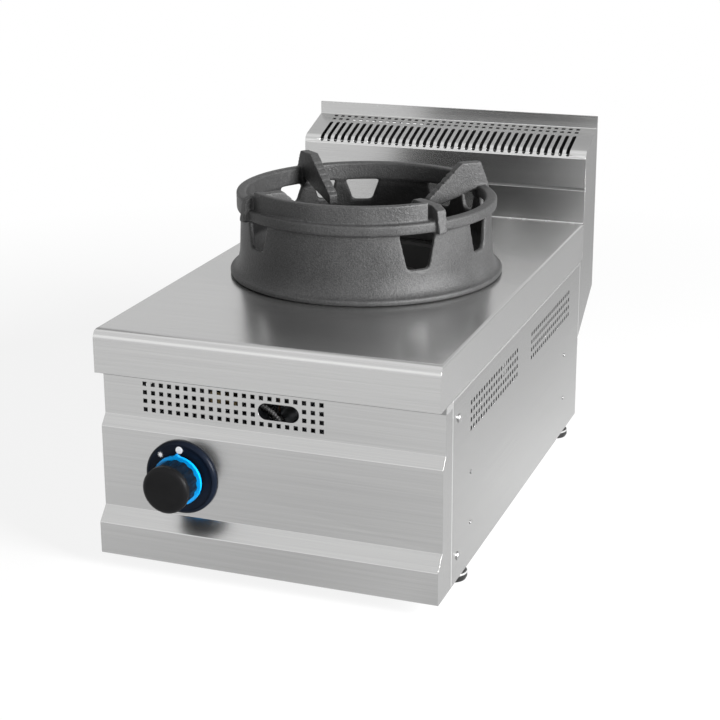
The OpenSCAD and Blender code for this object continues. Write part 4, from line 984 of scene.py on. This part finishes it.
@dataclass
class RibbedHose:
    """The corrugated gas hose that shows through the lighting slot."""

    finishes: Finishes
    ribs: int = 60
    core: float = 5.1 * MM
    crest: float = 5.5 * MM
    rib: float = 0.9 * MM
    margin: float = 0.4 * MM
    past_nut: float = 0.3 * MM
    loop_steps: int = 24
    round_steps: int = 28
    rib_steps: int = 8
    smooth_angle: float = 60.0

    def route(self) -> list[Point]:
        """Gives the hose's middle line, from its packed box.

        Returns:
            Its points from the burner's end to the tap's end.
        """
        low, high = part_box("ribbed_hose")
        radius = self.core + self.rib + self.margin
        loop = (high[Z] - low[Z]) / 2 - radius
        centre = Vector((high[X] - radius - loop, (low[Y] + high[Y]) / 2, (low[Z] + high[Z]) / 2))
        turns = [math.pi * (k / self.loop_steps - 0.5) for k in range(self.loop_steps + 1)]
        arc = [tuple(centre + Vector((loop * math.cos(a), 0, loop * math.sin(a)))) for a in turns]
        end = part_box("hose_nuts")[1][X] + self.past_nut
        return [(low[X], centre.y, centre.z - loop)] + arc + [(end, centre.y, centre.z + loop)]

    def build(self) -> None:
        """Sweeps the core and sets a ring at each rib, by Geometry Nodes."""
        curve = bpy.data.curves.new("hose_route", "CURVE")
        curve.dimensions = "3D"
        points = self.route()
        spline = curve.splines.new("POLY")
        spline.points.add(len(points) - 1)
        for slot, place in zip(spline.points, points):
            slot.co = (*place, 1)
        tree = GeometryTree("hose_ribs", {
            "Ribs": ("NodeSocketInt", self.ribs), "Core": ("NodeSocketFloat", self.core),
            "Crest": ("NodeSocketFloat", self.crest), "Rib": ("NodeSocketFloat", self.rib)})
        line = tree.given["Geometry"]
        core = tree.sweep(line, tree.given["Core"], self.round_steps, True)
        crest = tree.part("GeometryNodeCurvePrimitiveCircle", Resolution=self.round_steps, Radius=tree.given["Crest"])
        ring = tree.sweep(crest, tree.given["Rib"], self.rib_steps, False)
        stops = tree.node("GeometryNodeCurveToPoints", None, {"Curve": line, "Count": tree.given["Ribs"]}).outputs
        ribs = tree.part("GeometryNodeInstanceOnPoints", Points=stops["Points"], Instance=ring,
                         Rotation=stops["Rotation"])
        mesh = tree.solid(link("hose_work", curve), tree.part("GeometryNodeJoinGeometry", Geometry=[core, ribs]),
                          self.finishes.hose, "ribbed_hose_tube")
        new_piece("ribbed_hose_tube", shade(mesh, self.smooth_angle), self.finishes.hose, "cabinet",
                  ["ribbed_hose"])


@dataclass
class Fasteners:
    """Domed screw heads and small rivets."""

    finishes: Finishes
    groups: tuple[str, ...] = ("side_screws", "side_rivets", "flue_screws", "back_panel_screws")
    smooth_angle: float = 50.0

    def build(self) -> None:
        """Dresses each group, with smooth heads."""
        for node in self.groups:
            dress(node, node + "_heads", self.finishes.screw, "cabinet", self.smooth_angle)


@dataclass
class Knob:
    """The fluted knob, its blue ring and the marked bezel, whose profile is in millimetres."""

    finishes: Finishes
    flute_angle: float = 25.0
    bezel: tuple[Pair, ...] = (
        (9.0, 0), (42.5, 0), (42.5, 3.0), (41.7, 4.0), (40.5, 5.0), (39.4, 5.6), (38.7, 5.7), (38.2, 5.5),
        (37.9, 5.1), (30.0, 5.1), (9.0, 5.1))
    bezel_sides: int = 128
    bezel_angle: float = 40.0
    face: float = 5.1 * MM
    mark_thick: float = 0.25 * MM
    mark_sink: float = 0.05 * MM
    reach: float = 33.0 * MM
    dot: float = 4.3 * MM
    dot_sides: int = 40
    star_reach: float = 33.99 * MM
    star_turn: float = 133.0
    star_points: int = 8
    star_tip: float = 3.9 * MM
    star_dip: float = 1.7 * MM

    def marks(self, seat: Matrix) -> bpy.types.Mesh:
        """Raises the dot at the top and the star beside it.

        Args:
            seat: The bezel's place.

        Returns:
            Both marks as one mesh.
        """
        face = seat @ Matrix.Translation((0, 0, self.face - self.mark_sink))
        turns = [2 * math.pi * k / self.dot_sides for k in range(self.dot_sides)]
        dot = [(self.dot * math.cos(a), self.dot * math.sin(a) + self.reach) for a in turns]
        turn = math.radians(self.star_turn)
        x, y = self.star_reach * math.cos(turn), self.star_reach * math.sin(turn)
        corners = [(self.star_dip if k % 2 else self.star_tip, math.pi * k / self.star_points)
                   for k in range(2 * self.star_points)]
        star = [(x + r * math.cos(a), y + r * math.sin(a)) for r, a in corners]
        return joined("bezel_marks", flat_shape("dot", dot, self.mark_thick, face),
                      flat_shape("star", star, self.mark_thick, face))

    def build(self) -> None:
        """Dresses the knob, ring and bezel, and adds the two marks."""
        f = self.finishes
        dress("knob", "knob_grip", f.black, "knob_body", self.flute_angle)
        dress("knob_blue_ring", "knob_ring_blue", f.blue, "knob_body")
        low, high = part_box("knob_bezel")
        centre = Matrix.Translation(((low[X] + high[X]) / 2, high[Y], (low[Z] + high[Z]) / 2))
        seat = centre @ Matrix.Rotation(math.pi / 2, 4, "X")
        profile = [(radius * MM, height * MM) for radius, height in self.bezel]
        disc = lathe("knob_bezel_disc", profile, seat, self.bezel_sides, self.bezel_angle)
        new_piece("knob_bezel_disc", disc, f.bezel, "cabinet", ["knob_bezel"])
        new_piece("bezel_marks", self.marks(seat), f.white, "cabinet")


@dataclass
class Feet:
    """Four levelling feet."""

    finishes: Finishes
    names: tuple[str, ...] = ("front_left", "front_right", "back_left", "back_right")

    def build(self) -> None:
        """Dresses each foot."""
        for name in self.names:
            dress("foot_" + name, "foot_" + name + "_pad", self.finishes.rubber, name + "_foot")


# Stage


@dataclass
class Camera:
    """The camera at the photograph's angle, in metres and radians."""

    lens: float = 86.392
    sensor: float = 36.0
    place: Point = (0.6934375, -1.9206218, 0.8494759)
    azimuth: float = 0.3794
    elevation: float = 0.3053
    roll: float = -0.0139
    shift: Pair = (0.0658889, -0.0435)
    clip: Pair = (0.05, 50.0)

    def build(self) -> None:
        """Sets the camera."""
        data = bpy.data.cameras.new("camera")
        data.lens, data.sensor_width = self.lens, self.sensor
        data.shift_x, data.shift_y = self.shift
        data.clip_start, data.clip_end = self.clip
        a, e = self.azimuth, self.elevation
        back = Vector((math.sin(a) * math.cos(e), -math.cos(a) * math.cos(e), math.sin(e)))
        level = Vector((math.cos(a), math.sin(a), 0))
        plumb = back.cross(level)
        right = math.cos(self.roll) * level + math.sin(self.roll) * plumb
        up = -math.sin(self.roll) * level + math.cos(self.roll) * plumb
        camera = link("camera", data)
        camera.matrix_world = Matrix.Translation(self.place) @ Matrix((right, up, back)).transposed().to_4x4()
        bpy.context.scene.camera = camera


@dataclass
class Floor:
    """A white floor that keeps a faint shadow, with painted shade seen only in reflections, where the front and the
    right side mirror it.
    """

    size: float = 12.0
    front_spot: Pair = (0.0, -0.42)
    front_reach: float = 0.55
    front_dark: float = 0.38
    side_fade: Pair = (0.15, 0.35)
    side_dark: float = 0.42
    back_fade: Pair = (0.3, 1.3)
    back_dark: float = 0.06
    far_fade: Pair = (0.8, 1.6)
    glow: float = 0.85

    def material(self) -> bpy.types.Material:
        """Builds the floor's finish, which glows to every ray but those that light the object.

        Returns:
            The material.
        """
        shader = Shader("floor_white")
        # Painted shade seen only by mirrored rays, darkening the reflections in the front and the right side.
        front = self.front_dark * (1 - shader.radius(self.front_spot).between(0, self.front_reach))
        side = shader.axis(X).between(*self.side_fade) * (
            self.side_dark + self.back_dark * shader.axis(Y).between(*self.back_fade))
        tone = shader.mix(shader.rays("Glossy") * (front + side), WHITE, BLACK)
        share = self.glow + (1 - self.glow) * shader.radius().between(*self.far_fade)
        return shader.close(shader.either(
            shader.rays("Camera", "Glossy", "Transmission") * share,
            shader.node("ShaderNodeBsdfDiffuse", None, {"Color": (*WHITE, 1)}),
            shader.node("ShaderNodeEmission", None, {"Color": tone, "Strength": 1.0})))

    def build(self) -> None:
        """Lays the floor."""
        grid = bmesh.new()
        bmesh.ops.create_grid(grid, x_segments=1, y_segments=1, size=self.size)
        mesh = to_mesh(grid, "floor")
        mesh.materials.append(self.material())
        link("floor", mesh)


@dataclass
class Lamps:
    """The soft boxes, each with its name, place, aim, size in metres and power in watts."""

    lamps: tuple[tuple[str, Point, Point, float, float], ...] = (
        ("key", (2.4, -0.85, 1.05), (0, 0, 0.25), 1.1, 180.0),
        ("top", (-0.3, 0.2, 2.8), (0, 0, 0.3), 2.6, 4.0))

    def build(self) -> None:
        """Hangs the soft boxes."""
        for name, place, aim, size, power in self.lamps:
            data = bpy.data.lights.new(name, "AREA")
            data.size, data.energy = size, power
            lamp = link(name, data)
            lamp.location = place
            lamp.rotation_euler = (Vector(aim) - Vector(place)).to_track_quat("-Z", "Y").to_euler()


@dataclass
class Room:
    """The world: white to the camera, a bright room in metal, softer light on the rest.

    Each Pair holds the two parts of a ray's direction, from -1 to 1, between which a patch comes or goes.
    """

    level: float = 0.98
    overhead: float = 0.1
    overhead_fade: Pair = (0.3, 0.8)
    strip: float = 0.55
    strip_foot: Pair = (0.08, 0.2)
    strip_top: Pair = (0.42, 0.6)
    strip_front: Pair = (0.2, 0.6)
    strip_right: Pair = (0.5, 0.8)
    back_fade: Pair = (0.1, 0.45)
    back_dark: float = 0.12
    high_fade: Pair = (0.5, 0.75)
    high_dark: float = 0.05
    right_fade: Pair = (0.18, 0.38)
    right_dark: float = 0.35
    soft_low: float = 0.104
    soft_high: float = 0.288

    def mirrored(self, x: Value, y: Value, z: Value) -> Value:
        """Gives the room's brightness as metal mirrors it.

        Args:
            x: How far a ray goes to the right.
            y: How far it goes to the back.
            z: How far it goes up.

        Returns:
            The brightness.
        """
        sides = ((0 - y).between(*self.strip_front) + x.between(*self.strip_right)).between(0, 1)
        strip = z.between(*self.strip_foot) * (1 - z.between(*self.strip_top)) * sides
        back, right = y.between(*self.back_fade), 1 - (0 - x).between(*self.right_fade)
        dark = self.back_dark + z.between(*self.high_fade) * (self.high_dark + self.right_dark * right)
        return (self.level + self.overhead * z.between(*self.overhead_fade) * (1 - back) + self.strip * strip
                - back * dark)

    def build(self) -> None:
        """Sets the world and the view."""
        sky = ShaderTree(bpy.data.worlds.new("studio"), "ShaderNodeOutputWorld")
        way = sky.node("ShaderNodeTexCoord").outputs["Generated"]
        x, y, z = (Value(sky, part) for part in sky.node("ShaderNodeSeparateXYZ", None, {0: way}).outputs)
        white, mirror, soft = (
            sky.node("ShaderNodeBackground", None, {"Strength": strength, "Color": (*WHITE, 1)})
            for strength in (1.0, self.mirrored(x, y, z),
                             self.soft_low + (self.soft_high - self.soft_low) * z.between(0, 1)))
        lit = sky.either(sky.rays("Glossy", "Transmission"), soft, mirror)
        scene = bpy.context.scene
        scene.world = sky.close(sky.either(sky.rays("Camera"), lit, white))
        scene.view_settings.view_transform = "Standard"


def main() -> None:
    """Builds the stage and every sub-assembly in order."""
    logging.basicConfig(level=logging.INFO, format="%(name)s %(message)s")
    for prop in (Camera(), Floor(), Lamps(), Room()):
        prop.build()
    finishes = Finishes()
    for part in (Cabinet(finishes), WokRing(finishes), Burner(finishes), RibbedHose(finishes),
                 Fasteners(finishes), Knob(finishes), Feet(finishes)):
        part.build()


if __name__ == "__main__":
    main()
